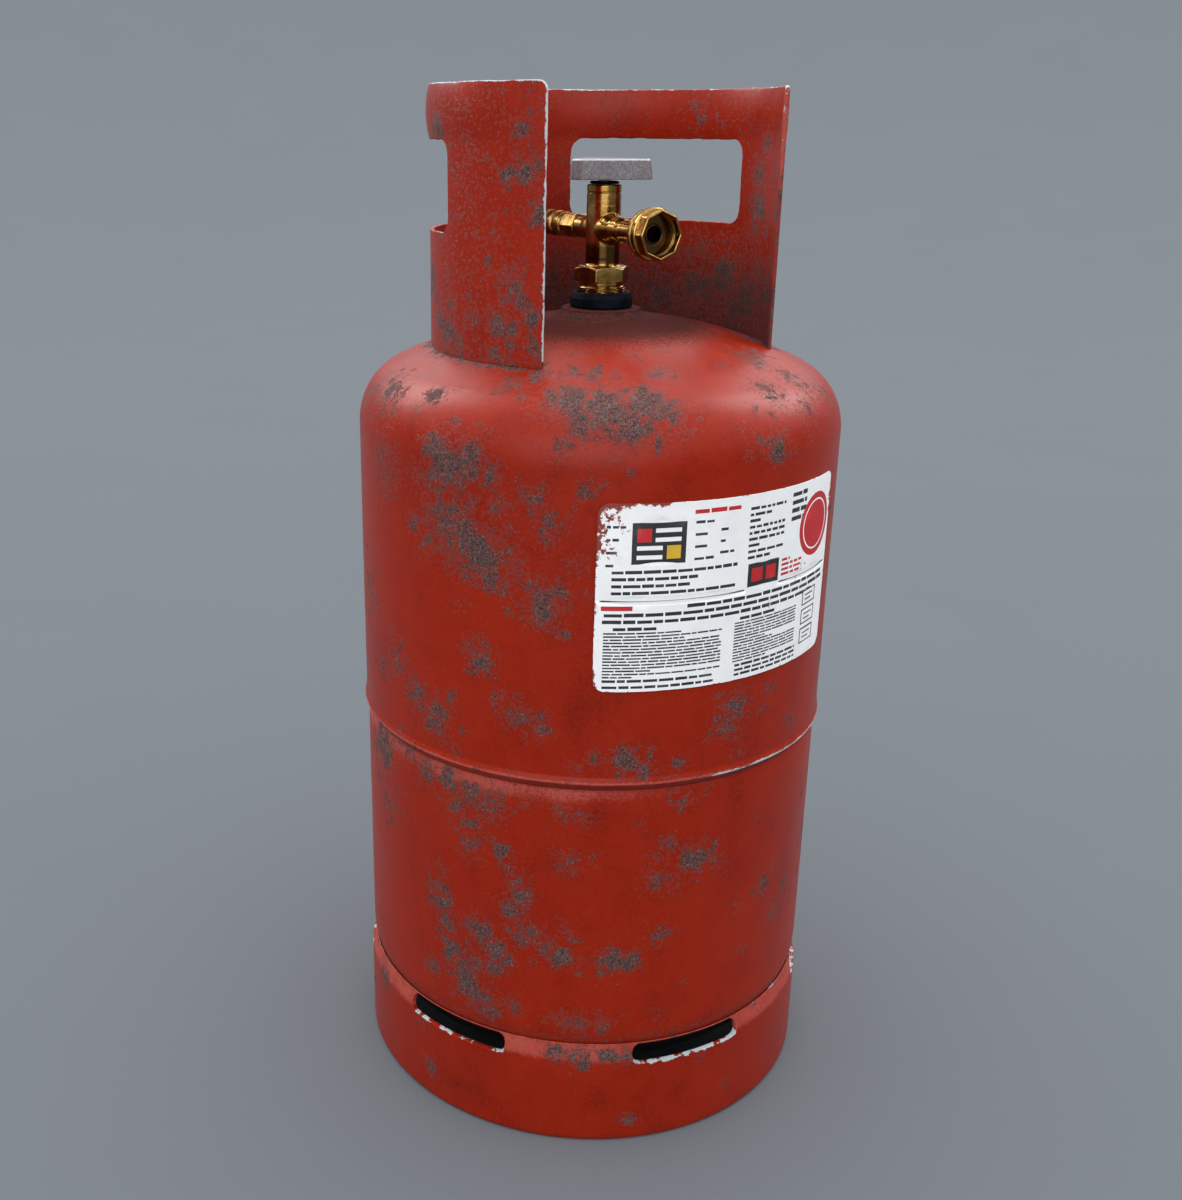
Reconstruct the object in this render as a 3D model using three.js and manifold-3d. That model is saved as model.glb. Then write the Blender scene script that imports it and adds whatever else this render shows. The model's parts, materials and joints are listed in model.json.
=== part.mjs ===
// A 13 kg propane cylinder: two-piece welded shell, guard collar, foot ring and service valve.
// Millimetres, +Z up. The origin is on the floor under the axis, and the outlet faces -Y.
import * as THREE from "three";
import { mergeVertices } from "three/addons/utils/BufferGeometryUtils.js";
import Module from "manifold-3d";

const wasm = await Module();
wasm.setup();

// ---- driving dimensions ----
const GAP = 0.35; // clearance between pieces that touch
const DEG = Math.PI / 180;
const SHELL_FACETS = 40;
const VALVE_FACETS = 20;
const INNER_FACETS = 12;

const shell = {
  radius: 150, // upper half, outside
  lowerRadius: 148.8, // lower half, outside
  wall: 3,
  knuckle: 40, // outside radius of the bend between cylinder and crown
  crown: 295, // outside radius of the domed ends
  shoulderZ: 434, // top of the straight cylinder
  baseZ: 84, // bottom of the straight cylinder
  seamZ: 250, // lower edge of the upper half
  lap: 14, // height of the rim that slides inside the upper half
  lipRadius: 151.2, // flared lower edge of the upper half
  neckHole: 17.4,
};
const boss = { radius: 24.25, bore: 12.9, neck: 17, flangeZ: 498.8, topZ: 502.4, bottomZ: 484 };
const collar = {
  radius: 104.6,
  wall: 2.6,
  topZ: 630,
  railZ: 600, // lower edge of the bulged top rail
  railBulge: 2,
  windowBottomZ: 549,
  gapHalfAngle: 50, // half of the open front
  windowFrom: 90.5, // degrees from the front, both sides
  windowTo: 160.2,
  windowCorner: 9,
};
const foot = {
  radius: 150.4,
  wall: 3,
  flange: 5.6, // width of the foot, turned in at the floor
  edge: 2.8, // outside radius of that bend
  shoulderZ: 58.5, // where the wall starts to bend in
  topZ: 71.3,
  slots: 6,
  slotAngle: 29,
  slotPhase: -5,
  slotBottomZ: 57.6,
  slotTopZ: 70.4,
  slotCorner: 5.6,
};
const label = { radius: 150.35, thickness: 0.4, from: -32, to: 34, bottomZ: 309, topZ: 418, corner: 7 };
const valve = {
  axisZ: 549, // centre line of the outlet and relief arms
  shankRadius: 12.5,
  bottomZ: 480,
  threadRadius: 14.8,
  grooveRadius: 12.8,
  hexZ: 517.8,
  hexTopZ: 527.2,
  hexFlats: 30,
  hexTurn: -15, // degrees
  stemRadius: 10.4,
  topZ: 558.5,
  seatZ: 536.5,
  inletRadius: 3,
  chamberRadius: 5.2,
  bonnetThreadRadius: 7.4,
  bonnetThreadZ: 553,
  armRadius: 6.3,
  outletBore: 3.7,
  reliefBore: 2.5,
  reliefArmRadius: 7,
  reliefArmEnd: 24,
  galleryY: 7.6, // drilled way from the foot of the shank to the relief arm
  galleryRadius: 1.4,
};
const outlet = { flangeFrom: 46.5, flangeTo: 50, socketFrom: 51.6, octagonFrom: 55.2, face: 62 };
const bonnet = { radius: 10.3, topZ: 574.5, bore: 3.9 };
const wheel = {
  bottomZ: 577.6,
  topZ: 589.2,
  inradius: 18.5, // centre to the long sides
  cornerRadius: 28.5, // centre to the three short sides
  draft: 1.6, // how much further out the lower edge stands
  turn: -10,
};
const relief = { hexFrom: 24.7, hexTo: 40, ringFrom: 43, barrelFrom: 52, end: 79, flats: 14 };

const finish = {
  redPaint: { color: 0x9b2616, roughness: 0.55, metalness: 0.1 },
  weldSteel: { color: 0x7c3226, roughness: 0.7, metalness: 0.3 },
  brass: { color: 0xb8842c, roughness: 0.35, metalness: 1 },
  steel: { color: 0x9a9c9e, roughness: 0.4, metalness: 0.9 },
  wheelGrey: { color: 0x828084, roughness: 0.6, metalness: 0.4 },
  blackRubber: { color: 0x0c1019, roughness: 0.7, metalness: 0 },
  paper: { color: 0xe4e2de, roughness: 0.6, metalness: 0 },
  dustRed: { color: 0x7a1c14, roughness: 0.6, metalness: 0 },
};

// ---- geometry helpers ----
const tank = new THREE.Group();

function addPiece(name, geometry, look) {
  const mesh = new THREE.Mesh(geometry, new THREE.MeshStandardMaterial(finish[look]));
  mesh.name = name;
  tank.add(mesh);
  return mesh;
}

// A closed geometry as a solid that can be joined and cut.
function solidOf(geometry) {
  const bare = geometry.clone();
  bare.deleteAttribute("normal");
  bare.deleteAttribute("uv");
  const merged = mergeVertices(bare, 1e-4);
  return new wasm.Manifold(
    new wasm.Mesh({
      numProp: 3,
      vertProperties: merged.attributes.position.array,
      triVerts: new Uint32Array(merged.index.array),
    }),
  );
}

function geometryOf(solid) {
  const mesh = solid.getMesh();
  const geometry = new THREE.BufferGeometry();
  geometry.setAttribute("position", new THREE.BufferAttribute(mesh.vertProperties, 3));
  geometry.setIndex(new THREE.BufferAttribute(mesh.triVerts, 1));
  return geometry;
}

// Area of a closed outline of [radius, height] pairs, positive when it runs counter-clockwise.
function signedArea(outline) {
  return outline.reduce((sum, [r, z], i) => {
    const [nextR, nextZ] = outline[(i + 1) % outline.length];
    return sum + (r * nextZ - nextR * z) / 2;
  }, 0);
}

// A solid of revolution round +Z from a closed outline of [radius, height] pairs.
// An outline that starts and ends on the axis stays open there; any other is closed on itself.
function turned(outline, facets) {
  const ordered = signedArea(outline) > 0 ? outline : [...outline].reverse();
  const onAxis = ordered.filter(([r]) => r === 0).length === 2;
  let points = ordered;
  if (onAxis) {
    while (!(points[0][0] === 0 && points.at(-1)[0] === 0)) {
      points = [...points.slice(1), points[0]];
    }
  } else {
    points = [...ordered, ordered[0]];
  }
  const profile = points.map(([r, z]) => new THREE.Vector2(r, z));
  return new THREE.LatheGeometry(profile, facets).rotateX(Math.PI / 2);
}

// A plain bar or disc round +Z, from one height to another.
function disc(radius, from, to, facets = INNER_FACETS) {
  return turned([[0, from], [radius, from], [radius, to], [0, to]], facets);
}

function ring(inner, outer, from, to, facets = INNER_FACETS) {
  return turned([[inner, from], [outer, from], [outer, to], [inner, to]], facets);
}

// Lays a piece modelled along +Z down at the valve's centre height, pointing to the front or back.
function alongFront(geometry) {
  return geometry.rotateX(Math.PI / 2).translate(0, 0, valve.axisZ);
}

function alongBack(geometry) {
  return geometry.rotateX(-Math.PI / 2).translate(0, 0, valve.axisZ);
}

// A prism round +Z with corners given as [x, y] pairs, drawn out or in towards its top by a scale.
function prism(corners, from, to, topScale = 1) {
  const outline = new THREE.Shape(corners.map(([x, y]) => new THREE.Vector2(x, y)));
  const geometry = new THREE.ExtrudeGeometry(outline, { depth: to - from, bevelEnabled: false });
  const place = geometry.attributes.position;
  for (let i = 0; i < place.count; i++) {
    const scale = place.getZ(i) > (to - from) / 2 ? topScale : 1;
    place.setXYZ(i, place.getX(i) * scale, place.getY(i) * scale, place.getZ(i) + from);
  }
  return geometry;
}

function polygon(sides, inradius, turn = 0) {
  const reach = inradius / Math.cos(Math.PI / sides);
  return Array.from({ length: sides }, (_, i) => {
    const angle = turn * DEG + ((i + 0.5) * 2 * Math.PI) / sides;
    return [reach * Math.cos(angle), reach * Math.sin(angle)];
  });
}

// A wedge with rounded corners, seen from outside: it cuts a window through a round wall.
// Angles are measured from the front (-Y), positive towards +X.
function wallWindow(wallRadius, fromAngle, toAngle, fromZ, toZ, corner) {
  const near = 0.4;
  const far = 1.7;
  const width = (toAngle - fromAngle) * DEG * wallRadius;
  const height = toZ - fromZ;
  const outline = new THREE.Shape();
  const steps = Math.ceil((toAngle - fromAngle) / 6);
  const straight = (y, start, end) => {
    for (let i = 1; i <= steps; i++) outline.lineTo(start + ((end - start) * i) / steps, y);
  };
  outline.moveTo(corner, 0);
  straight(0, corner, width - corner);
  outline.absarc(width - corner, corner, corner, -Math.PI / 2, 0, false);
  outline.absarc(width - corner, height - corner, corner, 0, Math.PI / 2, false);
  straight(height, width - corner, corner);
  outline.absarc(corner, height - corner, corner, Math.PI / 2, Math.PI, false);
  outline.absarc(corner, corner, corner, Math.PI, 1.5 * Math.PI, false);
  const geometry = new THREE.ExtrudeGeometry(outline, {
    depth: 1,
    bevelEnabled: false,
    curveSegments: 3,
  });
  const place = geometry.attributes.position;
  for (let i = 0; i < place.count; i++) {
    const angle = fromAngle * DEG + place.getX(i) / wallRadius;
    const reach = wallRadius * (place.getZ(i) > 0.5 ? far : near);
    place.setXYZ(i, reach * Math.sin(angle), -reach * Math.cos(angle), fromZ + place.getY(i));
  }
  return solidOf(geometry);
}

// ---- the pressure shell ----
const crownTangent = Math.atan2(
  Math.sqrt((shell.crown - shell.knuckle) ** 2 - (shell.radius - shell.knuckle) ** 2),
  shell.radius - shell.knuckle,
);
const crownDrop = (shell.crown - shell.knuckle) * Math.sin(crownTangent);

// Points of a domed end above height 0, from the cylinder to the radius of its middle hole,
// with the given number of steps in the bend and again in the crown.
function domedEnd(radius, inset, holeRadius, steps) {
  const knuckle = shell.knuckle - inset;
  const crown = shell.crown - inset;
  const centre = radius - knuckle - inset;
  const tangent = Math.acos(centre / (crown - knuckle));
  const drop = (crown - knuckle) * Math.sin(tangent);
  const points = [];
  for (let i = 1; i <= steps; i++) {
    const angle = (tangent * i) / steps;
    points.push([centre + knuckle * Math.cos(angle), knuckle * Math.sin(angle)]);
  }
  const last = Math.acos(holeRadius / crown);
  for (let i = 1; i <= steps; i++) {
    const angle = tangent + ((last - tangent) * i) / steps;
    const reach = i === steps ? holeRadius : crown * Math.cos(angle);
    points.push([reach, crown * Math.sin(angle) - drop]);
  }
  return points;
}

// Height of the upper shell's outer surface over a radius within the crown.
function crownZ(radius) {
  return shell.shoulderZ - crownDrop + Math.sqrt(shell.crown ** 2 - radius ** 2);
}

function buildUpperShell() {
  const { radius, wall, seamZ, shoulderZ, lipRadius, neckHole } = shell;
  const raise = ([r, z]) => [r, z + shoulderZ];
  const outside = domedEnd(radius, 0, neckHole, 5).map(raise);
  const inside = domedEnd(radius, wall, neckHole, 3).map(raise).reverse();
  const outline = [
    [radius - wall, seamZ],
    [lipRadius - 0.8, seamZ],
    [lipRadius, seamZ + 1.6],
    [lipRadius - 0.5, seamZ + 4],
    [radius, seamZ + 7],
    [radius, shoulderZ],
    ...outside,
    ...inside,
    [radius - wall, shoulderZ],
  ];
  addPiece("upper_shell", turned(outline, SHELL_FACETS), "redPaint");
}

function buildLowerShell() {
  const { radius, lowerRadius, wall, seamZ, baseZ, lap } = shell;
  const lower = ([r, z]) => [r, baseZ - z];
  const outside = domedEnd(lowerRadius, 0, 0, 5).map(lower);
  const inside = domedEnd(lowerRadius, wall, 0, 3).map(lower).reverse();
  const rim = radius - wall - GAP;
  const outline = [
    [lowerRadius, baseZ],
    ...outside,
    ...inside,
    [lowerRadius - wall, baseZ],
    [lowerRadius - wall, seamZ - 7],
    [rim - wall, seamZ - 2.5],
    [rim - wall, seamZ + lap],
    [rim, seamZ + lap],
    [rim, seamZ - 1.5],
    [lowerRadius, seamZ - 6],
  ];
  addPiece("lower_shell", turned(outline, SHELL_FACETS), "redPaint");
}

function buildGirthWeld() {
  const { lowerRadius, seamZ } = shell;
  const under = seamZ - GAP;
  const outline = [
    [147.2, under],
    [147.2, seamZ - 1.2],
    [lowerRadius - 0.1, seamZ - 4.6],
    [lowerRadius + 0.7, seamZ - 3.6],
    [lowerRadius + 1, seamZ - 2],
    [lowerRadius + 0.8, under],
  ];
  addPiece("girth_weld", turned(outline, SHELL_FACETS), "weldSteel");
}

function buildBoss() {
  const outline = [
    [boss.bore, boss.bottomZ],
    [boss.neck, boss.bottomZ],
    [boss.neck, boss.flangeZ],
    [boss.radius, boss.flangeZ],
    [boss.radius, boss.topZ - 0.8],
    [boss.radius - 0.8, boss.topZ],
    [boss.bore, boss.topZ],
  ];
  addPiece("valve_boss", turned(outline, VALVE_FACETS), "redPaint");

  const toe = 28.4;
  const root = boss.radius + GAP;
  const fillet = [
    [root, crownZ(root) + GAP],
    [toe, crownZ(toe) + GAP],
    [26.3, crownZ(26) + 1.2],
    [25.2, crownZ(25) + 2.2],
    [root, crownZ(root) + 3.2],
  ];
  addPiece("boss_weld", turned(fillet, VALVE_FACETS), "weldSteel");
}

// ---- collar, foot ring and label ----
function buildCollar() {
  const { radius, wall, topZ, railZ, railBulge, windowBottomZ, windowCorner } = collar;
  const seatZ = crownZ(radius - wall) + GAP;
  const railMiddle = (topZ + railZ) / 2;
  const railHalf = (topZ - railZ) / 2;
  const bulge = (z) => railBulge * (1 - ((z - railMiddle) / railHalf) ** 2);
  const railSteps = 6;
  const outside = [];
  for (let i = 0; i <= railSteps; i++) {
    const z = railZ + ((topZ - railZ) * i) / railSteps;
    outside.push([radius + bulge(z), z]);
  }
  const inside = outside.map(([r, z]) => [r - wall, z]).reverse();
  const outline = [[radius - wall, seatZ], [radius, seatZ - 0.6], ...outside, ...inside];
  let solid = solidOf(turned(outline, SHELL_FACETS));

  const openReach = 2 * radius;
  const openEdge = collar.gapHalfAngle * DEG;
  const opening = prism(
    [
      [0, 0],
      [-openReach * Math.sin(openEdge), -openReach * Math.cos(openEdge)],
      [openReach * Math.sin(openEdge), -openReach * Math.cos(openEdge)],
    ],
    seatZ - 20,
    topZ + 20,
  );
  solid = solid.subtract(solidOf(opening));
  for (const side of [-1, 1]) {
    const angles = [side * collar.windowFrom, side * collar.windowTo].sort((a, b) => a - b);
    const hole = wallWindow(radius, ...angles, windowBottomZ, railZ - 0.5, windowCorner);
    solid = solid.subtract(hole);
  }
  addPiece("guard_collar", geometryOf(solid), "redPaint");
}

function buildFootRing() {
  const { radius, wall, flange, edge, shoulderZ, topZ } = foot;
  const knuckleCentre = shell.lowerRadius - shell.knuckle;
  const clearOfShell = (z) =>
    knuckleCentre + Math.sqrt((shell.knuckle + GAP) ** 2 - (shell.baseZ - z) ** 2);
  const outline = [
    [radius - flange, 0],
    [radius - edge, 0],
    [radius - edge * 0.3, edge * 0.3],
    [radius, edge],
    [radius, shoulderZ],
    [radius - 0.5, shoulderZ + 4.5],
    [radius - 1.6, shoulderZ + 9],
    [clearOfShell(topZ), topZ],
    [clearOfShell(topZ - 3), topZ - 3],
    [clearOfShell(topZ - 5.5), topZ - 5.5],
    [radius - wall, shoulderZ - 2],
    [radius - wall, wall + 1],
    [radius - wall - 1, wall],
    [radius - flange, wall],
  ];
  let solid = solidOf(turned(outline, SHELL_FACETS));
  for (let i = 0; i < foot.slots; i++) {
    const middle = foot.slotPhase + (i * 360) / foot.slots;
    const half = foot.slotAngle / 2;
    const heights = [foot.slotBottomZ, foot.slotTopZ];
    const slot = wallWindow(radius, middle - half, middle + half, ...heights, foot.slotCorner);
    solid = solid.subtract(slot);
  }
  addPiece("foot_ring", geometryOf(solid), "redPaint");
}

function buildLabel() {
  const { radius, thickness, from, to, bottomZ, topZ, corner } = label;
  const sheet = ring(radius, radius + thickness, bottomZ - 5, topZ + 5, SHELL_FACETS);
  const cut = wallWindow(radius, from, to, bottomZ, topZ, corner);
  addPiece("label", geometryOf(solidOf(sheet).intersect(cut)), "paper");
}

// ---- the service valve ----
function buildNeckRing() {
  const inner = valve.threadRadius + GAP;
  const outline = [
    [inner, 502.75],
    [18.6, 502.75],
    [19.1, 503.6],
    [19.1, 508.6],
    [17.6, 511.9],
    [inner, 511.9],
  ];
  addPiece("neck_ring", turned(outline, VALVE_FACETS), "blackRubber");
}

function buildValveBody() {
  const upright = turned(
    [
      [0, valve.bottomZ],
      [valve.shankRadius - 1, valve.bottomZ],
      [valve.shankRadius, valve.bottomZ + 1],
      [valve.shankRadius, boss.topZ + GAP],
      [valve.threadRadius, boss.topZ + GAP],
      [valve.threadRadius, 516],
      [valve.grooveRadius, 516.3],
      [valve.grooveRadius, valve.hexTopZ - 1],
      [valve.stemRadius, valve.hexTopZ],
      [valve.stemRadius, valve.topZ],
      [0, valve.topZ],
    ],
    VALVE_FACETS,
  );
  const hexagon = prism(polygon(6, valve.hexFlats / 2, valve.hexTurn), valve.hexZ, valve.hexTopZ);
  const { flangeFrom, flangeTo, socketFrom } = outlet;
  const outletArm = turned(
    [
      [0, 6],
      [valve.armRadius + 1, 6],
      [valve.armRadius + 1, 22],
      [valve.armRadius, 23],
      [valve.armRadius, flangeFrom],
      [13.6, flangeFrom],
      [14.3, flangeFrom + 1],
      [14.3, flangeTo - 0.8],
      [13.6, flangeTo],
      [5.6, flangeTo],
      [5.6, socketFrom + 2],
      [0, socketFrom + 2],
    ],
    VALVE_FACETS,
  );
  const reliefArm = disc(valve.reliefArmRadius, 6, valve.reliefArmEnd, VALVE_FACETS);
  const chamber = turned(
    [
      [0, valve.bottomZ - 5],
      [valve.inletRadius, valve.bottomZ - 5],
      [valve.inletRadius, valve.seatZ],
      [valve.chamberRadius, valve.seatZ],
      [valve.chamberRadius, valve.bonnetThreadZ],
      [valve.bonnetThreadRadius, valve.bonnetThreadZ],
      [valve.bonnetThreadRadius, valve.topZ + 5],
      [0, valve.topZ + 5],
    ],
    INNER_FACETS,
  );
  const gallery = disc(valve.galleryRadius, valve.bottomZ - 5, valve.axisZ, 8);
  gallery.translate(0, valve.galleryY, 0);
  const outletBore = alongFront(disc(valve.outletBore, 0, outlet.face));
  const reliefBore = alongBack(
    turned(
      [
        [0, valve.galleryY - 1.3],
        [valve.reliefBore, valve.galleryY - 1.3],
        [valve.reliefBore, 14],
        [4.6, 14],
        [4.6, valve.reliefArmEnd + 5],
        [0, valve.reliefArmEnd + 5],
      ],
      INNER_FACETS,
    ),
  );
  const outside = [hexagon, alongFront(outletArm), alongBack(reliefArm)];
  const cuts = [chamber, gallery, outletBore, reliefBore];
  let solid = solidOf(upright);
  for (const geometry of outside) solid = solid.add(solidOf(geometry));
  for (const geometry of cuts) solid = solid.subtract(solidOf(geometry));
  addPiece("valve_body", geometryOf(solid), "brass");
}

function buildOutlet() {
  const { flangeTo, socketFrom, octagonFrom, face } = outlet;
  const washer = ring(6, 12.6, flangeTo + GAP, socketFrom - GAP, VALVE_FACETS);
  addPiece("outlet_washer", alongFront(washer), "blackRubber");

  const flange = turned(
    [
      [0, socketFrom],
      [14.4, socketFrom],
      [15, socketFrom + 1],
      [15, octagonFrom - 0.6],
      [14.2, octagonFrom + 0.5],
      [0, octagonFrom + 0.5],
    ],
    VALVE_FACETS,
  );
  const octagon = prism(polygon(8, 13.4, 22.5), octagonFrom, face);
  const bore = turned(
    [
      [0, socketFrom - 1],
      [5.95, socketFrom - 1],
      [5.95, socketFrom + 2],
      [11.6, socketFrom + 2],
      [11.6, face - 0.8],
      [12.2, face + 1],
      [0, face + 1],
    ],
    VALVE_FACETS,
  );
  const solid = solidOf(flange).add(solidOf(octagon)).subtract(solidOf(bore));
  addPiece("outlet_socket", alongFront(geometryOf(solid)), "brass");
}

function buildBonnet() {
  const spigot = valve.bonnetThreadRadius - GAP;
  const outline = [
    [bonnet.bore, valve.bonnetThreadZ + 1.6],
    [spigot, valve.bonnetThreadZ + 1.6],
    [spigot, valve.topZ + GAP],
    [bonnet.radius, valve.topZ + GAP],
    [bonnet.radius, bonnet.topZ - 0.5],
    [bonnet.radius - 0.5, bonnet.topZ],
    [bonnet.bore, bonnet.topZ],
  ];
  addPiece("bonnet", turned(outline, VALVE_FACETS), "brass");
  const washerFrom = valve.bonnetThreadZ + GAP;
  const washerTo = valve.bonnetThreadZ + 1.6 - GAP;
  addPiece("bonnet_washer", ring(5.3, spigot, washerFrom, washerTo), "blackRubber");
  const seal = [
    [3.95, bonnet.topZ + GAP],
    [8.4, bonnet.topZ + GAP],
    [8.95, bonnet.topZ + 1],
    [8.2, bonnet.topZ + 2],
    [3.95, bonnet.topZ + 2],
  ];
  addPiece("dust_seal", turned(seal, VALVE_FACETS), "blackRubber");
}

function buildSpindle() {
  const radius = 3.5;
  const grooveRadius = 2.4;
  const grooves = [559, 565.5];
  const grooveHeight = 2.4;
  const shoulderTop = valve.bonnetThreadZ + 1.2;
  const outline = [[0, 550], [4.6, 550], [4.6, shoulderTop], [radius, shoulderTop]];
  for (const z of grooves) {
    outline.push([radius, z], [grooveRadius, z]);
    outline.push([grooveRadius, z + grooveHeight], [radius, z + grooveHeight]);
  }
  outline.push([radius, 577], [0, 577]);
  const squareEnd = prism(polygon(4, 2.8, wheel.turn), 576, wheel.topZ - 4.1);
  const tang = prism([[-2, -0.8], [2, -0.8], [2, 0.8], [-2, 0.8]], 544.5, 551);
  const tapped = disc(1.5, 577.5, wheel.topZ, 12);
  const solid = solidOf(turned(outline, INNER_FACETS))
    .add(solidOf(squareEnd))
    .add(solidOf(tang))
    .subtract(solidOf(tapped));
  addPiece("spindle", geometryOf(solid), "steel");
  ["spindle_oring_lower", "spindle_oring_upper"].forEach((name, i) => {
    const z = grooves[i];
    const inner = grooveRadius + 0.3;
    const section = [
      [inner, z + 0.8],
      [inner + 0.4, z + 0.4],
      [3.6, z + 0.8],
      [3.6, z + 1.6],
      [inner + 0.4, z + 2],
      [inner, z + 1.6],
    ];
    addPiece(name, turned(section, INNER_FACETS), "blackRubber");
  });
}

function buildPlug() {
  const foot = valve.seatZ + GAP;
  const discTop = foot + 1.8;
  addPiece("seat_disc", disc(3.9, foot, discTop), "blackRubber");
  const top = discTop + GAP + 7.6;
  const plug = solidOf(disc(4.8, discTop + GAP, top));
  const slot = prism([[-2.4, -1.15], [2.4, -1.15], [2.4, 1.15], [-2.4, 1.15]], 540.8, top + 1);
  addPiece("valve_plug", geometryOf(plug.subtract(solidOf(slot))), "brass");
}

// Outline of the three-sided wheel: three long sides joined by three short ones.
function wheelOutline(inset) {
  const long = wheel.inradius - inset;
  const short = wheel.cornerRadius - inset;
  const half = (short - long * Math.cos(60 * DEG)) / Math.sin(60 * DEG);
  const points = [];
  for (let i = 0; i < 3; i++) {
    const facing = (wheel.turn - 90 + i * 120) * DEG;
    const [x, y] = [Math.cos(facing), Math.sin(facing)];
    points.push([x * long + y * half, y * long - x * half]);
    points.push([x * long - y * half, y * long + x * half]);
  }
  return points;
}

function buildHandwheel() {
  const { bottomZ, topZ, draft } = wheel;
  const web = 3.5;
  const topScale = 1 - draft / wheel.cornerRadius;
  const outside = prism(wheelOutline(0), bottomZ, topZ, topScale);
  const hollow = prism(wheelOutline(3), bottomZ - 1, topZ - web, topScale);
  const hub = disc(7.5, bottomZ + 0.3, topZ - web + 0.5, VALVE_FACETS);
  const recess = disc(7, topZ - 3.7, topZ + 1, VALVE_FACETS);
  const bore = prism(polygon(4, 3.15, wheel.turn), bottomZ - 2, topZ);
  const solid = solidOf(outside)
    .subtract(solidOf(hollow))
    .add(solidOf(hub))
    .subtract(solidOf(recess))
    .subtract(solidOf(bore));
  addPiece("handwheel", geometryOf(solid), "wheelGrey");

  const washerFrom = topZ - 3.7 + GAP;
  const washerTo = washerFrom + 0.9;
  addPiece("handwheel_washer", ring(1.8, 6, washerFrom, washerTo), "steel");
  const screw = [
    [0, 579],
    [1.15, 579],
    [1.15, washerTo + GAP],
    [3.8, washerTo + GAP],
    [3.8, topZ - 1],
    [3, topZ - 0.4],
    [0, topZ - 0.4],
  ];
  addPiece("handwheel_screw", turned(screw, INNER_FACETS), "steel");
}

// ---- the relief valve in the rear arm ----
// A coil of round wire along +Z, closed at both ends.
class Coil extends THREE.Curve {
  constructor(radius, turns, from, to) {
    super();
    Object.assign(this, { radius, turns, from, to });
  }

  getPoint(t, target = new THREE.Vector3()) {
    const angle = 2 * Math.PI * this.turns * t;
    const z = this.from + (this.to - this.from) * t;
    return target.set(this.radius * Math.cos(angle), this.radius * Math.sin(angle), z);
  }
}

function buildReliefValve() {
  const { hexFrom, hexTo, ringFrom, barrelFrom, end, flats } = relief;
  const outside = turned(
    [
      [0, 15],
      [4.25, 15],
      [4.25, hexFrom - 0.2],
      [6.4, hexFrom - 0.2],
      [6.4, hexTo],
      [5.9, hexTo + 0.3],
      [5.9, ringFrom - 0.3],
      [7.4, ringFrom],
      [7.4, ringFrom + 6],
      [6.6, ringFrom + 6.5],
      [6.6, barrelFrom - 0.5],
      [7.9, barrelFrom],
      [7.9, end - 1],
      [7.2, end],
      [0, end],
    ],
    VALVE_FACETS,
  );
  const chamberFrom = 30;
  const hexagon = prism(polygon(6, flats / 2), hexFrom, hexTo);
  const bore = turned(
    [
      [0, 14],
      [1.6, 14],
      [1.6, chamberFrom],
      [5.2, chamberFrom],
      [5.2, end + 1],
      [0, end + 1],
    ],
    INNER_FACETS,
  );
  const body = solidOf(outside).add(solidOf(hexagon)).subtract(solidOf(bore));
  addPiece("relief_body", alongBack(geometryOf(body)), "brass");

  const sealFrom = chamberFrom + GAP;
  const sealTo = sealFrom + 1.4;
  addPiece("relief_seal", alongBack(disc(3.2, sealFrom, sealTo)), "blackRubber");
  const poppet = [
    [0, sealTo + GAP],
    [4.8, sealTo + GAP],
    [4.8, 36],
    [2.2, 36],
    [2.2, 40],
    [1.3, 41],
    [1.3, 66],
    [0, 66],
  ];
  addPiece("relief_poppet", alongBack(turned(poppet, INNER_FACETS)), "brass");

  const wire = 0.55;
  const turns = 7;
  const coil = new Coil(3.6, turns, 36 + wire + 0.5, 62 - wire - 0.5);
  const section = new THREE.Shape();
  section.absarc(0, 0, wire, 0, 2 * Math.PI);
  const spring = new THREE.ExtrudeGeometry(section, {
    steps: turns * 10,
    curveSegments: 3,
    bevelEnabled: false,
    extrudePath: coil,
  });
  addPiece("relief_spring", alongBack(spring), "steel");
  const adjuster = ring(2, 4.85, 62, 66, INNER_FACETS);
  addPiece("relief_adjuster", alongBack(adjuster), "brass");
  const cap = [
    [0, end - 5],
    [4.85, end - 5],
    [4.85, end + GAP],
    [8, end + GAP],
    [8, end + 2],
    [7, end + 3],
    [0, end + 3],
  ];
  addPiece("relief_cap", alongBack(turned(cap, VALVE_FACETS)), "dustRed");
}

buildUpperShell();
buildLowerShell();
buildGirthWeld();
buildBoss();
buildCollar();
buildFootRing();
buildLabel();
buildNeckRing();
buildValveBody();
buildOutlet();
buildBonnet();
buildSpindle();
buildPlug();
buildHandwheel();
buildReliefValve();

export default tank;
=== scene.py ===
# The looks of a 13 kg propane cylinder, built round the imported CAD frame.
# Lengths are in millimetres until they become a mesh. Azimuths are in degrees from the front (-Y) towards +X.
import json
import math
import random

import bmesh
import bpy
import numpy as np
from mathutils import Matrix, Vector, kdtree, noise
from mathutils.geometry import delaunay_2d_cdt

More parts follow.
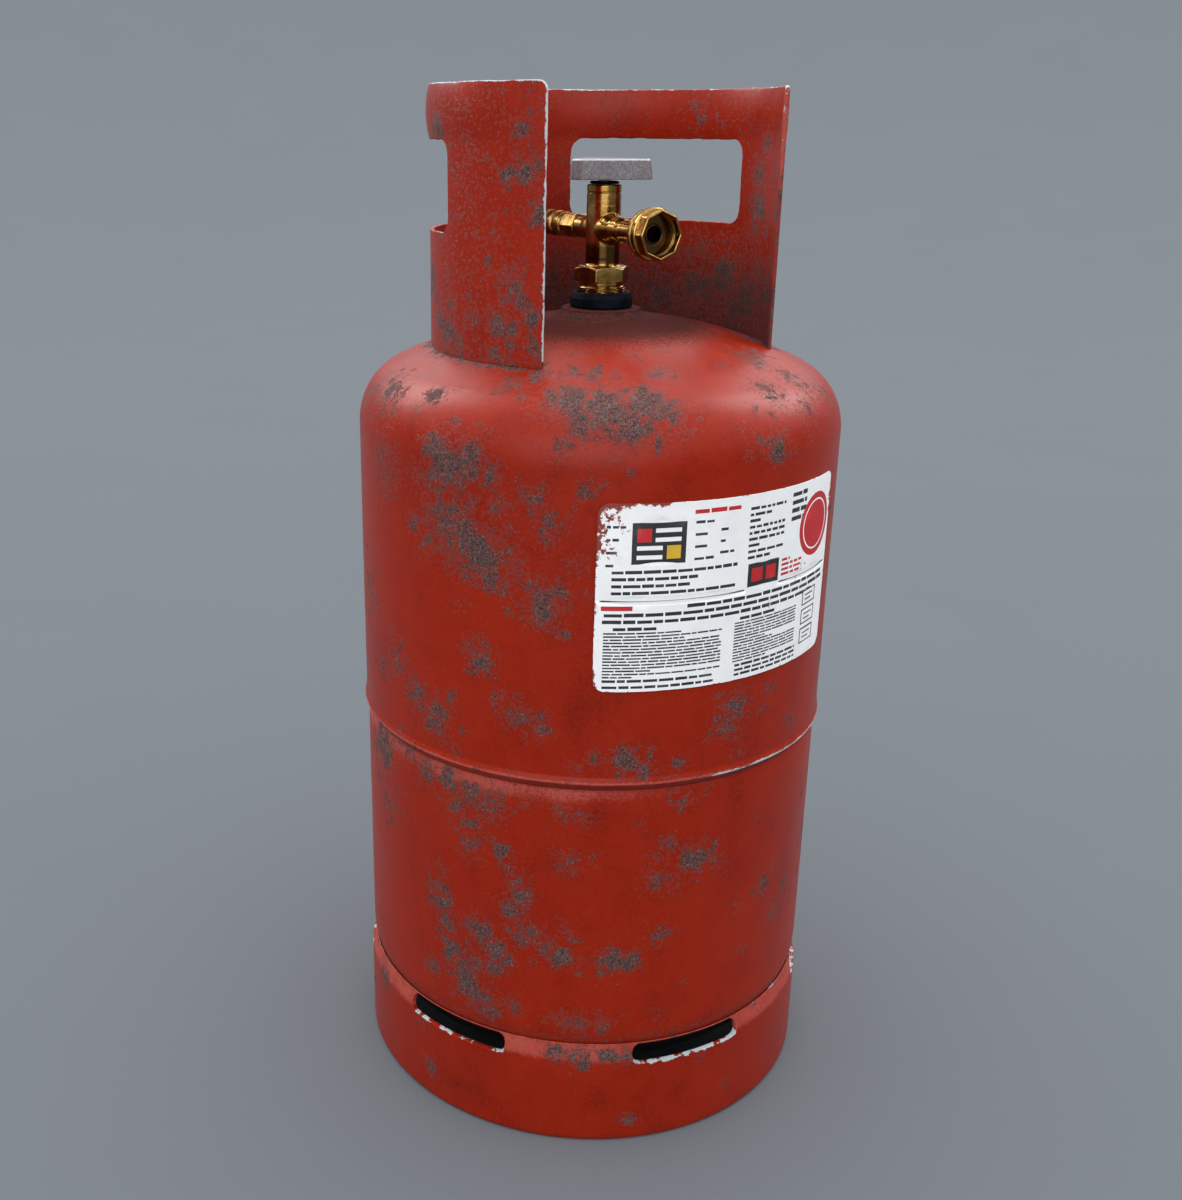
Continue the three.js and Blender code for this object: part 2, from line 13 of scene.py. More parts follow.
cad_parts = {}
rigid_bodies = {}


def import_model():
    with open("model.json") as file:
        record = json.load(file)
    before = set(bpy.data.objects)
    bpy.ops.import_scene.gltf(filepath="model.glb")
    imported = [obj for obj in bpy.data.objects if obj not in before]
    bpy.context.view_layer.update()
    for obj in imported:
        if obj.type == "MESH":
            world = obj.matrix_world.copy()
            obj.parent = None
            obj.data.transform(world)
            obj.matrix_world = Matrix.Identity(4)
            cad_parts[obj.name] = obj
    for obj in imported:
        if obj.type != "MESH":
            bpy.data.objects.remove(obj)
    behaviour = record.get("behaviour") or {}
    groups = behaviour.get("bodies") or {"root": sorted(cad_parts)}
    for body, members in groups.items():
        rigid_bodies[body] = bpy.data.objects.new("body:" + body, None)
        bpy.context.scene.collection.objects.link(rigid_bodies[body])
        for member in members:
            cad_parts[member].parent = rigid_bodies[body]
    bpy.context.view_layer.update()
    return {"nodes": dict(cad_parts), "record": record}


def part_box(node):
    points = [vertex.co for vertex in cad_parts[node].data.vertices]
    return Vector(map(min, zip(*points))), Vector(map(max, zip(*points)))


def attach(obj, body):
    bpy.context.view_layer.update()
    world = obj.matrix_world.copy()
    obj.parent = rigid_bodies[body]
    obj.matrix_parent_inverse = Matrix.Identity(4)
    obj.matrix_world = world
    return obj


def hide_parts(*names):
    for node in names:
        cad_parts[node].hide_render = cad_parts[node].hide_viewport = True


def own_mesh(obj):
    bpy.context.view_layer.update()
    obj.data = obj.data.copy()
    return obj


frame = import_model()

MM = 0.001
TAU = 2 * math.pi
SHELL_SEGMENTS = 320
FINE_SEGMENTS = 192
GAP = 0.35  # clearance between pieces, as in the CAD
EDGE_STEP = 1.2  # between the points along a plate's edges
EDGE_REACH = 1.6  # how far wear spreads from a plate's edge

record = frame["record"]
BODY = {node: body for body, nodes in record["behaviour"]["bodies"].items() for node in nodes}


def box_mm(node):
    low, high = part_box(node)
    return Vector(low) / MM, Vector(high) / MM


# ---------------------------------------------------------------- outlines

def rounded(points, closed=False, steps=4):
    """A polyline of (x, y) or (x, y, radius) corners; each corner with a radius becomes an arc."""
    made = []
    count = len(points)
    for i, point in enumerate(points):
        x, y, radius = (*point, 0)[:3]
        if radius <= 0 or (not closed and i in (0, count - 1)):
            made.append((x, y))
            continue
        corner = Vector((x, y))
        back = Vector(points[i - 1][:2]) - corner
        ahead = Vector(points[(i + 1) % count][:2]) - corner
        half = back.angle(ahead) / 2
        cut = min(radius / math.tan(half), 0.48 * back.length, 0.48 * ahead.length)
        radius = cut * math.tan(half)
        centre = corner + (back.normalized() + ahead.normalized()).normalized() * (radius / math.sin(half))
        start = corner + back.normalized() * cut - centre
        end = corner + ahead.normalized() * cut - centre
        sweep = math.atan2(start.x * end.y - start.y * end.x, start.dot(end))
        for k in range(steps + 1):
            turn = sweep * k / steps
            made.append((
                centre.x + start.x * math.cos(turn) - start.y * math.sin(turn),
                centre.y + start.x * math.sin(turn) + start.y * math.cos(turn),
            ))
    return made


def densify(points, step, closed=False):
    """The same polyline with points no further apart than a step."""
    made = []
    ends = points[1:] + points[:1] if closed else points[1:]
    for (ax, ay), (bx, by) in zip(points, ends):
        pieces = max(1, math.ceil(math.hypot(bx - ax, by - ay) / step))
        made += [(ax + (bx - ax) * i / pieces, ay + (by - ay) * i / pieces) for i in range(pieces)]
    return made if closed else made + [points[-1]]


def soft_polygon(faces, power=70):
    """Distance from the axis to a convex outline at each angle; faces are (direction, distance) pairs."""
    def radius(angles):
        total = np.zeros_like(angles)
        for direction, distance in faces:
            total += (np.maximum(np.cos(angles - direction), 0) / distance) ** power
        return total ** (-1 / power)
    return radius


def regular(sides, inradius, turn=0.0, power=90):
    """A regular polygon with a corner at the given turn in radians."""
    step = TAU / sides
    return soft_polygon([(turn + (i + 0.5) * step, inradius) for i in range(sides)], power)


def capped(outline, limit):
    """An outline turned down to a largest radius, as on the chamfer of a nut."""
    return lambda angles: np.minimum(outline(angles), limit)


# ---------------------------------------------------------------- solids

def lathe(loops, segments=FINE_SEGMENTS):
    """Rings round +Z from (radius, height) pairs, either of which may be a function of the angle.
    A path that starts and ends on the axis is closed there, and any other is closed on itself."""
    angles = np.arange(segments) * TAU / segments
    verts, rings = [], []
    for radius, height in loops:
        z = height(angles) if callable(height) else np.full(segments, float(height))
        if not callable(radius) and radius < 1e-6:
            rings.append([len(verts)] * segments)
            verts.append((0.0, 0.0, z[0]))
            continue
        r = radius(angles) if callable(radius) else np.full(segments, float(radius))
        rings.append(list(range(len(verts), len(verts) + segments)))
        verts.extend(zip(r * np.sin(angles), -r * np.cos(angles), z))
    on_axis = rings[0][0] == rings[0][1] and rings[-1][0] == rings[-1][1]
    pairs = list(zip(rings, rings[1:]))
    if not on_axis:
        pairs.append((rings[-1], rings[0]))
    faces = []
    for low, high in pairs:
        for i in range(segments):
            j = (i + 1) % segments
            corners = list(dict.fromkeys((low[i], low[j], high[j], high[i])))
            if len(corners) > 2:
                faces.append(corners)
    return np.array(verts), faces


def turned(points, segments=FINE_SEGMENTS, step=2.0):
    """A solid of revolution from corners of (radius, height, rounding)."""
    closed = not (points[0][0] == 0 and points[-1][0] == 0)
    path = rounded(points, closed=closed)
    return lathe(densify(path, step, closed=closed), segments)


def thread(crest, root, start, end, pitch):
    """Loops of a screw thread between two heights, fading out over a turn at each end."""
    def ridge(z):
        fade = min(1.0, abs(z - start) / pitch, abs(z - end) / pitch)
        def radius(angles):
            phase = (z / pitch - angles / TAU) % 1.0
            flank = np.clip(1.25 * (1 - np.abs(2 * phase - 1)) * 1.6 - 0.5, 0, 1)
            return root + (crest - root) * fade * flank
        return radius
    count = max(2, round(abs(end - start) / pitch * 10))
    heights = [start + (end - start) * i / count for i in range(count + 1)]
    return [(ridge(z), z) for z in heights]


def along(base, *steps):
    """Loops at heights counted from a base, from (radius, rise) pairs."""
    return [(radius, base + rise) for radius, rise in steps]


def chamfer(outline, base, *steps):
    """The same, with the outline turned down to each radius."""
    return [(capped(outline, radius), base + rise) for radius, rise in steps]


def joined(*parts):
    """Several (verts, faces) pairs as one."""
    verts, faces = [], []
    for part_verts, part_faces in parts:
        start = sum(len(v) for v in verts)
        verts.append(np.asarray(part_verts))
        faces += [[i + start for i in face] for face in part_faces]
    return np.concatenate(verts), faces


AXIS_Z = sum(c.z for c in box_mm("outlet_socket")) / 2


def to_front(part):
    """Lays a part modelled along +Z down along -Y at the valve's centre height."""
    verts, faces = part
    x, y, z = verts.T
    return np.column_stack((x, -z, y + AXIS_Z)), faces


def to_back(part):
    verts, faces = part
    x, y, z = verts.T
    return np.column_stack((x, z, AXIS_Z - y)), faces


# ---------------------------------------------------------------- bent plates

def inward(points, closed):
    """Unit normals on the left of a path in the flat, which is its material side."""
    p = np.asarray(points, float)
    if closed:
        along = np.roll(p, -1, 0) - np.roll(p, 1, 0)
    else:
        along = np.gradient(p, axis=0)
    along /= np.linalg.norm(along, axis=1)[:, None]
    return np.column_stack((-along[:, 1], along[:, 0]))


def ragged(points, closed, amount, seed):
    """A path whose edge is eaten inwards by up to the given amount."""
    p = np.asarray(points, float)
    n = inward(p, closed)
    bite = [
        max(0.0, 0.35 + noise.fractal(Vector((x * 0.11, y * 0.11, seed)), 1.0, 2.2, 4)) * amount
        for x, y in p
    ]
    return p + n * np.array(bite)[:, None]


def plate(rims, boundary, holes, place, wall, edge, spacing, ink=()):
    """A bent plate with rounded edges.
    rims: (points, closed) paths with material on their left, where closed is None for a line along which the
    plate meets itself; boundary and holes: indices of the paths that make the outer loop, and of those that
    are holes; place(s, v, depth) puts flat points in space.
    ink: polygons to cut into the outer face, each (points, group).
    Returns verts, faces, a group for each face and a closeness to the nearest edge for each vertex."""
    rim_steps = 4
    section = [(edge * (1 - math.sin(a)), edge * (1 - math.cos(a)))
               for a in (math.pi / 2 * i / rim_steps for i in range(rim_steps + 1))]
    section += [(inset, wall - depth) for inset, depth in reversed(section)]

    flat, faces, groups = [], [], []
    def add(points, depth):
        start = sum(len(f) for f in flat)
        flat.append(np.column_stack((points, np.full(len(points), depth))))
        return list(range(start, start + len(points)))

    outer_rings, inner_rings = [], []
    for points, closed in rims:
        points = np.asarray(points, float)
        if closed is None:
            outer_rings.append(add(points, 0.0))
            inner_rings.append(add(points, wall))
            continue
        normals = inward(points, closed)
        rings = [add(points + normals * inset, depth) for inset, depth in section]
        outer_rings.append(rings[0])
        inner_rings.append(rings[-1])
        last = len(points) if closed else len(points) - 1
        for near, far in zip(rings, rings[1:]):
            for i in range(last):
                j = (i + 1) % len(points)
                faces.append([near[i], near[j], far[j], far[i]])
                groups.append(0)

    everything = np.concatenate(flat)
    for rings, depth, marks in ((outer_rings, 0.0, ink), (inner_rings, wall, ())):
        ids = [i for ring in rings for i in ring]
        at = {vert: k for k, vert in enumerate(ids)}
        coords = [Vector(everything[i][:2]) for i in ids]
        loops = [[at[i] for k in boundary for i in rings[k]]]
        loops += [[at[i] for i in reversed(rings[k])] for k in holes]
        tree = kdtree.KDTree(len(coords))
        for k, c in enumerate(coords):
            tree.insert((*c, 0), k)
        tree.balance()
        lows, highs = np.min(everything[ids, :2], 0), np.max(everything[ids, :2], 0)
        for s in np.arange(lows[0] + spacing / 2, highs[0], spacing):
            for v in np.arange(lows[1] + spacing / 2, highs[1], spacing):
                if tree.find((s, v, 0))[2] > spacing * 0.55:
                    coords.append(Vector((s, v)))
        for points, _ in marks:
            loops.append(list(range(len(coords), len(coords) + len(points))))
            coords += [Vector(p) for p in points]
        cut = delaunay_2d_cdt(coords, [], loops, 0, 1e-6)
        new_coords, _, triangles, origin_verts, _, origin_faces = cut
        start = sum(len(f) for f in flat)
        fresh, index = [], []
        for k, c in enumerate(new_coords):
            known = [o for o in origin_verts[k] if o < len(ids)]
            if known:
                index.append(ids[known[0]])
            else:
                index.append(start + len(fresh))
                fresh.append((c.x, c.y, depth))
        if fresh:
            flat.append(np.array(fresh))
        for triangle, origin in zip(triangles, origin_faces):
            if 0 not in origin or any(1 <= o <= len(holes) for o in origin):
                continue
            inks = [o - 1 - len(holes) for o in origin if o > len(holes)]
            faces.append([index[i] for i in triangle])
            groups.append(max((marks[o][1] for o in inks), default=0) if marks else 0)
    everything = np.concatenate(flat)
    edge_points = np.concatenate([np.asarray(p, float) for p, closed in rims if closed is not None])
    edges = kdtree.KDTree(len(edge_points))
    for k, (s, v) in enumerate(edge_points):
        edges.insert((s, v, 0), k)
    edges.balance()
    closeness = np.array([math.exp(-edges.find((s, v, 0))[2] / EDGE_REACH) for s, v, _ in everything])
    return place(*everything.T), faces, groups, closeness


def slot_outline(middle, half_width, low, high, corner):
    """A window in the flat, clockwise so that the material is on its left."""
    corners = [
        (middle - half_width, low, corner), (middle - half_width, high, corner),
        (middle + half_width, high, corner), (middle + half_width, low, corner),
    ]
    return densify(rounded(corners, closed=True, steps=7), EDGE_STEP, closed=True)


# ---------------------------------------------------------------- wear, laid out over the tank

def polar(azimuth, radius, z):
    a = np.radians(azimuth)
    return np.stack(np.broadcast_arrays(radius * np.sin(a), -radius * np.cos(a), z), axis=-1)


def azimuth_of(co):
    return np.degrees(np.arctan2(co[:, 0], -co[:, 1]))


def arc_zone(co, middle, half, soft=8.0):
    """1 within an arc of azimuth, falling to 0 outside it."""
    away = np.abs((azimuth_of(co) - middle + 180) % 360 - 180)
    return np.clip((half + soft - away) / soft, 0, 1)


def bell(distance, width):
    """1 at no distance, falling away smoothly over a width."""
    return np.exp(-((distance / width) ** 2))


def density(co, centres):
    """How thick the corrosion is at each point: soft spots round (point, size, strength) centres."""
    total = np.zeros(len(co))
    for centre, size, strength in centres:
        away = np.linalg.norm(co - np.asarray(centre), axis=1) / size
        total = np.maximum(total, strength * np.exp(-away * away * 0.55))
    return total


def scattered(place, spots, seed, crumbs=6):
    """Corrosion centres from (azimuth, height, size, strength) spots, with smaller ones strewn round each."""
    pick = random.Random(seed)
    made = []
    for azimuth, z, size, strength in spots:
        made.append((place(azimuth, z), size, strength))
        for _ in range(crumbs):
            turn, away = pick.uniform(0, TAU), size * pick.uniform(0.9, 2.4)
            beside = azimuth + math.degrees(away * math.cos(turn) / SHELL_R)
            made.append((
                place(beside, z + away * math.sin(turn)), size * pick.uniform(0.22, 0.5),
                strength * pick.uniform(0.5, 0.95),
            ))
    return made


def strewn(count, seed, azimuths, heights, sizes=(7, 18)):
    """Spots at random over a stretch of the tank that the front doesn't show."""
    pick = random.Random(seed)
    return [
        (pick.uniform(*azimuths), pick.uniform(*heights), pick.uniform(*sizes), pick.uniform(0.5, 1.0))
        for _ in range(count)
    ]


# ---------------------------------------------------------------- materials

class Graph:
    """A node material under construction, with a Principled shader at its end."""

    def __init__(self, name, **sockets):
        self.material = bpy.data.materials.new(name)
        self.material.use_nodes = True
        self.tree = self.material.node_tree
        self.shader = self.tree.nodes["Principled BSDF"]
        for socket, value in sockets.items():
            self.set(self.shader, socket.replace("_", " "), value)

    def set(self, node, socket, value):
        entry = node.inputs[socket]
        if isinstance(value, bpy.types.NodeSocket):
            self.tree.links.new(value, entry)
        else:
            entry.default_value = value

    def node(self, kind, inputs=(), **options):
        made = self.tree.nodes.new("ShaderNode" + kind)
        for option, value in options.items():
            setattr(made, option, value)
        for socket, value in dict(inputs).items():
            self.set(made, socket, value)
        return made

    def place(self, scale=(1, 1, 1)):
        at = self.node("TexCoord").outputs["Object"]
        return self.node("Mapping", {"Vector": at, "Scale": scale}).outputs[0]

    def noise(self, at, scale, detail, roughness):
        sockets = {"Vector": at, "Scale": scale, "Detail": detail, "Roughness": roughness}
        return self.node("TexNoise", sockets).outputs["Fac"]

    def attribute(self, name):
        return self.node("Attribute", attribute_name=name).outputs["Fac"]

    def math(self, operation, a, b):
        return self.node("Math", {0: a, 1: b}, operation=operation).outputs[0]

    def sum(self, *terms):
        """Adds up (value, weight) pairs."""
        total = None
        for value, weight in terms:
            part = self.math("MULTIPLY", value, weight)
            total = part if total is None else self.math("ADD", total, part)
        return total

    def step(self, value, low, high, to_low=0.0, to_high=1.0):
        """A smooth step from one value to another."""
        sockets = {"Value": value, "From Min": low, "From Max": high, "To Min": to_low, "To Max": to_high}
        return self.node("MapRange", sockets, interpolation_type="SMOOTHSTEP").outputs[0]

    def ramp(self, value, stops):
        made = self.node("ValToRGB", {"Fac": value})
        entries = made.color_ramp.elements
        for entry, (at, colour) in zip(entries, (stops[0], stops[-1])):
            entry.position, entry.color = at, (*colour, 1)
        for at, colour in stops[1:-1]:
            entries.new(at).color = (*colour, 1)
        return made.outputs["Color"]

    def mix(self, amount, a, b):
        made = self.node("Mix", data_type="RGBA")
        for socket, value in zip((made.inputs[0], made.inputs[6], made.inputs[7]), (amount, a, b)):
            if isinstance(value, bpy.types.NodeSocket):
                self.tree.links.new(value, socket)
            else:
                socket.default_value = (*value, 1) if isinstance(value, tuple) and len(value) == 3 else value
        return made.outputs[2]

    def between(self, amount, a, b):
        """A number part way from one to another."""
        made = self.node("Mix", {0: amount, 2: a, 3: b}, data_type="FLOAT")
        return made.outputs[0]

    def lift(self, *layers):
        """Stacks bumps of (height, strength, distance in metres) onto the shader's normal."""
        normal = None
        for height, strength, distance in layers:
            bump = self.node("Bump", {"Height": height, "Strength": strength, "Distance": distance})
            if normal is not None:
                self.tree.links.new(normal, bump.inputs["Normal"])
            normal = bump.outputs["Normal"]
        self.set(self.shader, "Normal", normal)

    def done(self, **sockets):
        for socket, value in sockets.items():
            self.set(self.shader, socket.replace("_", " "), value)
        return self.material


RED_BRIGHT = (0.32, 0.0165, 0.0024)
RED_MID = (0.26, 0.0115, 0.0012)
RED_DARK = (0.13, 0.0065, 0.0024)
BARE_STEEL = (0.56, 0.62, 0.64)
SOOT_AND_SHADE = (0.052, 0.014, 0.012)


def worn_enamel(name, bright=RED_BRIGHT, mid=RED_MID, dark=RED_DARK, sprinkle=0.0):
    """Red enamel with corroded, flaking patches where "rust" is high and bare chips where "edge" is."""
    g = Graph(name)
    at = g.place()
    broad = g.noise(at, 11, 3, 0.55)
    cloud = g.noise(at, 42, 5, 0.62)
    flake = g.noise(at, 150, 8, 0.7)
    fleck = g.noise(at, 430, 4, 0.6)
    grain = g.noise(at, 620, 5, 0.72)
    speck = g.noise(at, 1700, 3, 0.65)
    rust, edge, chalk, grime = (g.attribute(a) for a in ("rust", "edge", "chalk", "grime"))

    # Paint: nearly even, with fine darker dirt in the orange peel.
    tone = g.sum((broad, 0.3), (cloud, 0.3), (grain, 0.4))
    paint = g.ramp(tone, [(0.33, dark), (0.45, mid), (0.62, bright)])
    dirt = g.step(g.sum((speck, 0.5), (flake, 0.5)), 0.52, 0.64, 0.0, 0.30)
    paint = g.mix(dirt, paint, dark)

    # Pale chalky whitening that is partly a painted highlight, and sooty darkening where the paint is never
    # wiped that is partly painted shade and reflection.
    bloom_and_highlight = g.step(g.sum((chalk, 0.45), (grain, 0.6), (cloud, 0.5), (speck, 0.2)), 0.78, 1.06, 0.0, 0.75)
    paint = g.mix(g.math("MULTIPLY", bloom_and_highlight, g.step(chalk, 0.0, 0.15)), paint, (0.42, 0.080, 0.060))
    soot_and_shade = g.step(g.sum((grime, 0.6), (grain, 0.8), (speck, 0.4)), 0.66, 1.16, 0.0, 0.92)
    soot_and_shade = g.math("MULTIPLY", soot_and_shade, g.step(grime, 0.0, 0.25))
    paint = g.mix(soot_and_shade, paint, SOOT_AND_SHADE)

    # Small blisters that gather round the corrosion.
    blister = g.step(g.sum((fleck, 0.75), (flake, 0.25), (rust, 0.27)), 0.635 - sprinkle, 0.665 - sprinkle)
    colour = g.mix(g.math("MULTIPLY", blister, 0.32), paint, (0.17, 0.060, 0.052))

    # Corrosion: a crisp, perforated edge where fine noise crosses a level set by the density.
    level = g.sum((flake, 0.66), (grain, 0.40), (rust, 0.25), (cloud, 0.30))
    patch = g.step(level, 0.855 - sprinkle, 0.875 - sprinkle, 0.0, 0.94)
    near = g.step(level, 0.81 - sprinkle, 0.855 - sprinkle, 0.0, 0.3)
    scale = g.ramp(g.sum((grain, 0.45), (speck, 0.55)), [
        (0.41, (0.010, 0.009, 0.009)), (0.47, (0.045, 0.030, 0.029)),
        (0.53, (0.095, 0.072, 0.069)), (0.62, (0.25, 0.225, 0.21)),
    ])
    bits = g.step(g.sum((flake, 0.3), (grain, 0.3), (speck, 0.4)), 0.535, 0.56, 0.0, 0.6)
    scale = g.mix(bits, scale, mid)
    scale = g.mix(g.math("MULTIPLY", soot_and_shade, 0.7), scale, SOOT_AND_SHADE)
    colour = g.mix(near, colour, dark)
    colour = g.mix(patch, colour, scale)

    # Chips down to bright steel along edges.
    chip = g.step(g.sum((edge, 0.42), (flake, 0.70), (cloud, 0.35), (grain, 0.25)), 0.975, 0.995)
    colour = g.mix(chip, colour, g.mix(speck, BARE_STEEL, (0.38, 0.42, 0.44)))

    either = g.math("MAXIMUM", patch, chip)
    rough = g.step(g.sum((grain, 0.5), (cloud, 0.5)), 0.35, 0.65, 0.30, 0.42)
    rough = g.between(g.math("MAXIMUM", either, soot_and_shade), rough, 0.85)
    g.set(g.shader, "Specular IOR Level", g.between(soot_and_shade, 0.19, 0.05))
    pits = g.math("MULTIPLY", patch, g.math("SUBTRACT", speck, 1.0))
    g.lift(
        (g.sum((broad, 0.5), (cloud, 0.5)), 0.22, 0.0012),
        (g.sum((flake, 0.6), (grain, 0.4)), 0.22, 0.0006),
        (blister, 0.5, 0.0004),
        (g.math("SUBTRACT", pits, g.math("MULTIPLY", chip, 0.4)), 0.5, 0.0005),
    )
    return g.done(Base_Color=colour, Roughness=rough)


def brass(name, polish=0.0):
    """Cast or machined brass, tarnished in patches."""
    g = Graph(name, Metallic=1.0)
    at = g.place()
    cloud = g.noise(at, 130, 5, 0.62)
    grain = g.noise(at, 900, 4, 0.65)
    brush = g.noise(g.place((900, 900, 6000)), 1.0, 2, 0.5)
    tone = g.sum((cloud, 0.7), (grain, 0.3))
    colour = g.ramp(tone, [(0.34, (0.20, 0.096, 0.024)), (0.5, (0.36, 0.200, 0.052)),
                           (0.66, (0.60, 0.385, 0.13))])
    stain = g.step(g.sum((g.noise(at, 420, 6, 0.7), 0.8), (cloud, 0.2)), 0.575, 0.66, 0.0, 0.5)
    colour = g.mix(stain, colour, (0.085, 0.036, 0.011))
    # Darker where the grime attribute is high: dirt, and painted shade under the arms and inside the outlet.
    grime = g.attribute("grime")
    dirt = g.step(g.sum((grime, 0.6), (grain, 0.25), (cloud, 0.35)), 0.36, 0.8, 0.0, 0.85)
    colour = g.mix(g.math("MULTIPLY", dirt, g.step(grime, 0.0, 0.2)), colour, (0.040, 0.015, 0.007))
    rough = g.step(g.sum((cloud, 0.5), (grain, 0.5)), 0.36, 0.66, 0.15 + polish, 0.27 + polish)
    g.lift((cloud, 0.05, 0.0005), (g.sum((grain, 0.7), (brush, 0.3)), 0.14, 0.0002))
    return g.done(Base_Color=colour, Roughness=rough)


def turned_steel(name):
    g = Graph(name, Metallic=1.0)
    at = g.place()
    ring = g.noise(g.place((60, 60, 5200)), 1.0, 3, 0.6)
    cloud = g.noise(at, 220, 5, 0.65)
    colour = g.ramp(g.sum((ring, 0.5), (cloud, 0.5)),
                    [(0.34, (0.19, 0.17, 0.16)), (0.5, (0.42, 0.42, 0.42)), (0.66, (0.6, 0.61, 0.62))])
    g.lift((ring, 0.25, 0.0001), (cloud, 0.1, 0.0002))
    return g.done(Base_Color=colour, Roughness=g.step(cloud, 0.3, 0.7, 0.24, 0.5))


def cast_grey(name):
    """Grey speckled casting whose edges are rubbed bright."""
    g = Graph(name, Metallic=0.35)
    at = g.place()
    cloud = g.noise(at, 90, 4, 0.6)
    grain = g.noise(at, 750, 6, 0.72)
    speck = g.noise(at, 2600, 2, 0.6)
    edge = g.attribute("edge")
    colour = g.ramp(g.sum((grain, 0.55), (speck, 0.45)),
                    [(0.36, (0.075, 0.066, 0.074)), (0.5, (0.175, 0.158, 0.170)),
                     (0.64, (0.36, 0.34, 0.355))])
    colour = g.mix(g.step(cloud, 0.5, 0.72, 0.0, 0.3), colour, (0.15, 0.085, 0.09))
    rub = g.step(g.sum((edge, 0.6), (grain, 0.5)), 0.52, 0.68)
    colour = g.mix(rub, colour, (0.42, 0.425, 0.43))
    g.lift((grain, 0.35, 0.0004), (speck, 0.2, 0.00015))
    return g.done(Base_Color=colour, Roughness=g.between(rub, g.step(grain, 0.35, 0.65, 0.5, 0.7), 0.38))


def rubber(name):
    g = Graph(name, Specular_IOR_Level=0.06)
    at = g.place()
    cloud = g.noise(at, 140, 5, 0.6)
    grain = g.noise(at, 1500, 4, 0.65)
    dust = g.step(g.sum((cloud, 0.5), (grain, 0.5)), 0.54, 0.72, 0.0, 0.12)
    colour = g.mix(dust, g.ramp(cloud, [(0.35, (0.002, 0.003, 0.006)), (0.65, (0.006, 0.008, 0.013))]),
                   (0.05, 0.05, 0.055))
    g.lift((cloud, 0.15, 0.0006), (grain, 0.25, 0.0002))
    return g.done(Base_Color=colour, Roughness=g.step(grain, 0.35, 0.65, 0.48, 0.72))


def soft_cap(name):
    g = Graph(name)
    at = g.place()
    cloud = g.noise(at, 120, 4, 0.6)
    grain = g.noise(at, 1300, 4, 0.6)
    colour = g.ramp(g.sum((cloud, 0.7), (grain, 0.3)),
                    [(0.36, (0.12, 0.010, 0.008)), (0.62, (0.27, 0.022, 0.015))])
    g.lift((grain, 0.2, 0.0002))
    return g.done(Base_Color=colour, Roughness=g.step(grain, 0.35, 0.65, 0.42, 0.6))


def printed_film(name, low, high):
    """One ink, or the bare film, of the label: scuffed away to red in flecks and along its edges."""
    g = Graph(name)
    at = g.place()
    cloud = g.noise(at, 55, 5, 0.65)
    flake = g.noise(at, 260, 8, 0.72)
    grain = g.noise(at, 1500, 4, 0.7)
    rust, edge = g.attribute("rust"), g.attribute("edge")
    colour = g.ramp(g.sum((cloud, 0.6), (grain, 0.4)), [(0.36, low), (0.62, high)])
    grime = g.step(g.sum((cloud, 0.6), (flake, 0.4)), 0.52, 0.7, 0.0, 0.18)
    colour = g.mix(grime, colour, (0.42, 0.33, 0.29))
    level = g.sum((flake, 0.72), (cloud, 0.36), (rust, 0.25), (edge, 0.17))
    scuff = g.step(level, 0.775, 0.79)
    colour = g.mix(scuff, colour, g.mix(g.step(grain, 0.45, 0.6), (0.30, 0.022, 0.012), (0.12, 0.045, 0.035)))
    g.lift((cloud, 0.12, 0.0008), (grain, 0.12, 0.0002), (scuff, -0.5, 0.0003))
    return g.done(Base_Color=colour, Roughness=g.between(scuff, g.step(grain, 0.35, 0.65, 0.46, 0.6), 0.62))


ENAMEL = worn_enamel("worn_red_enamel")
WELD = worn_enamel("scaled_weld", (0.24, 0.020, 0.009), (0.17, 0.012, 0.006), (0.08, 0.007, 0.005),
                   sprinkle=0.02)
# Near-black enamel that is painted shade: it covers the shell inside the foot ring, seen through the slots.
PAINTED_SHADE = worn_enamel("painted_shade", (0.008, 0.004, 0.004), (0.005, 0.003, 0.003), (0.003, 0.002, 0.002))
BRASS = brass("forged_brass")
BRASS_DULL = brass("machined_brass", polish=0.05)
STEEL = turned_steel("turned_steel")
WHEEL = cast_grey("cast_grey")
RUBBER = rubber("black_rubber")
CAP = soft_cap("red_cap")
FILM = printed_film("white_film", (0.82, 0.82, 0.82), (0.92, 0.92, 0.92))
INK = printed_film("black_ink", (0.010, 0.010, 0.012), (0.030, 0.030, 0.034))
RED_INK = printed_film("red_ink", (0.42, 0.010, 0.014), (0.56, 0.016, 0.020))
YELLOW_INK = printed_film("yellow_ink", (0.55, 0.33, 0.02), (0.72, 0.46, 0.03))


# ---------------------------------------------------------------- pieces

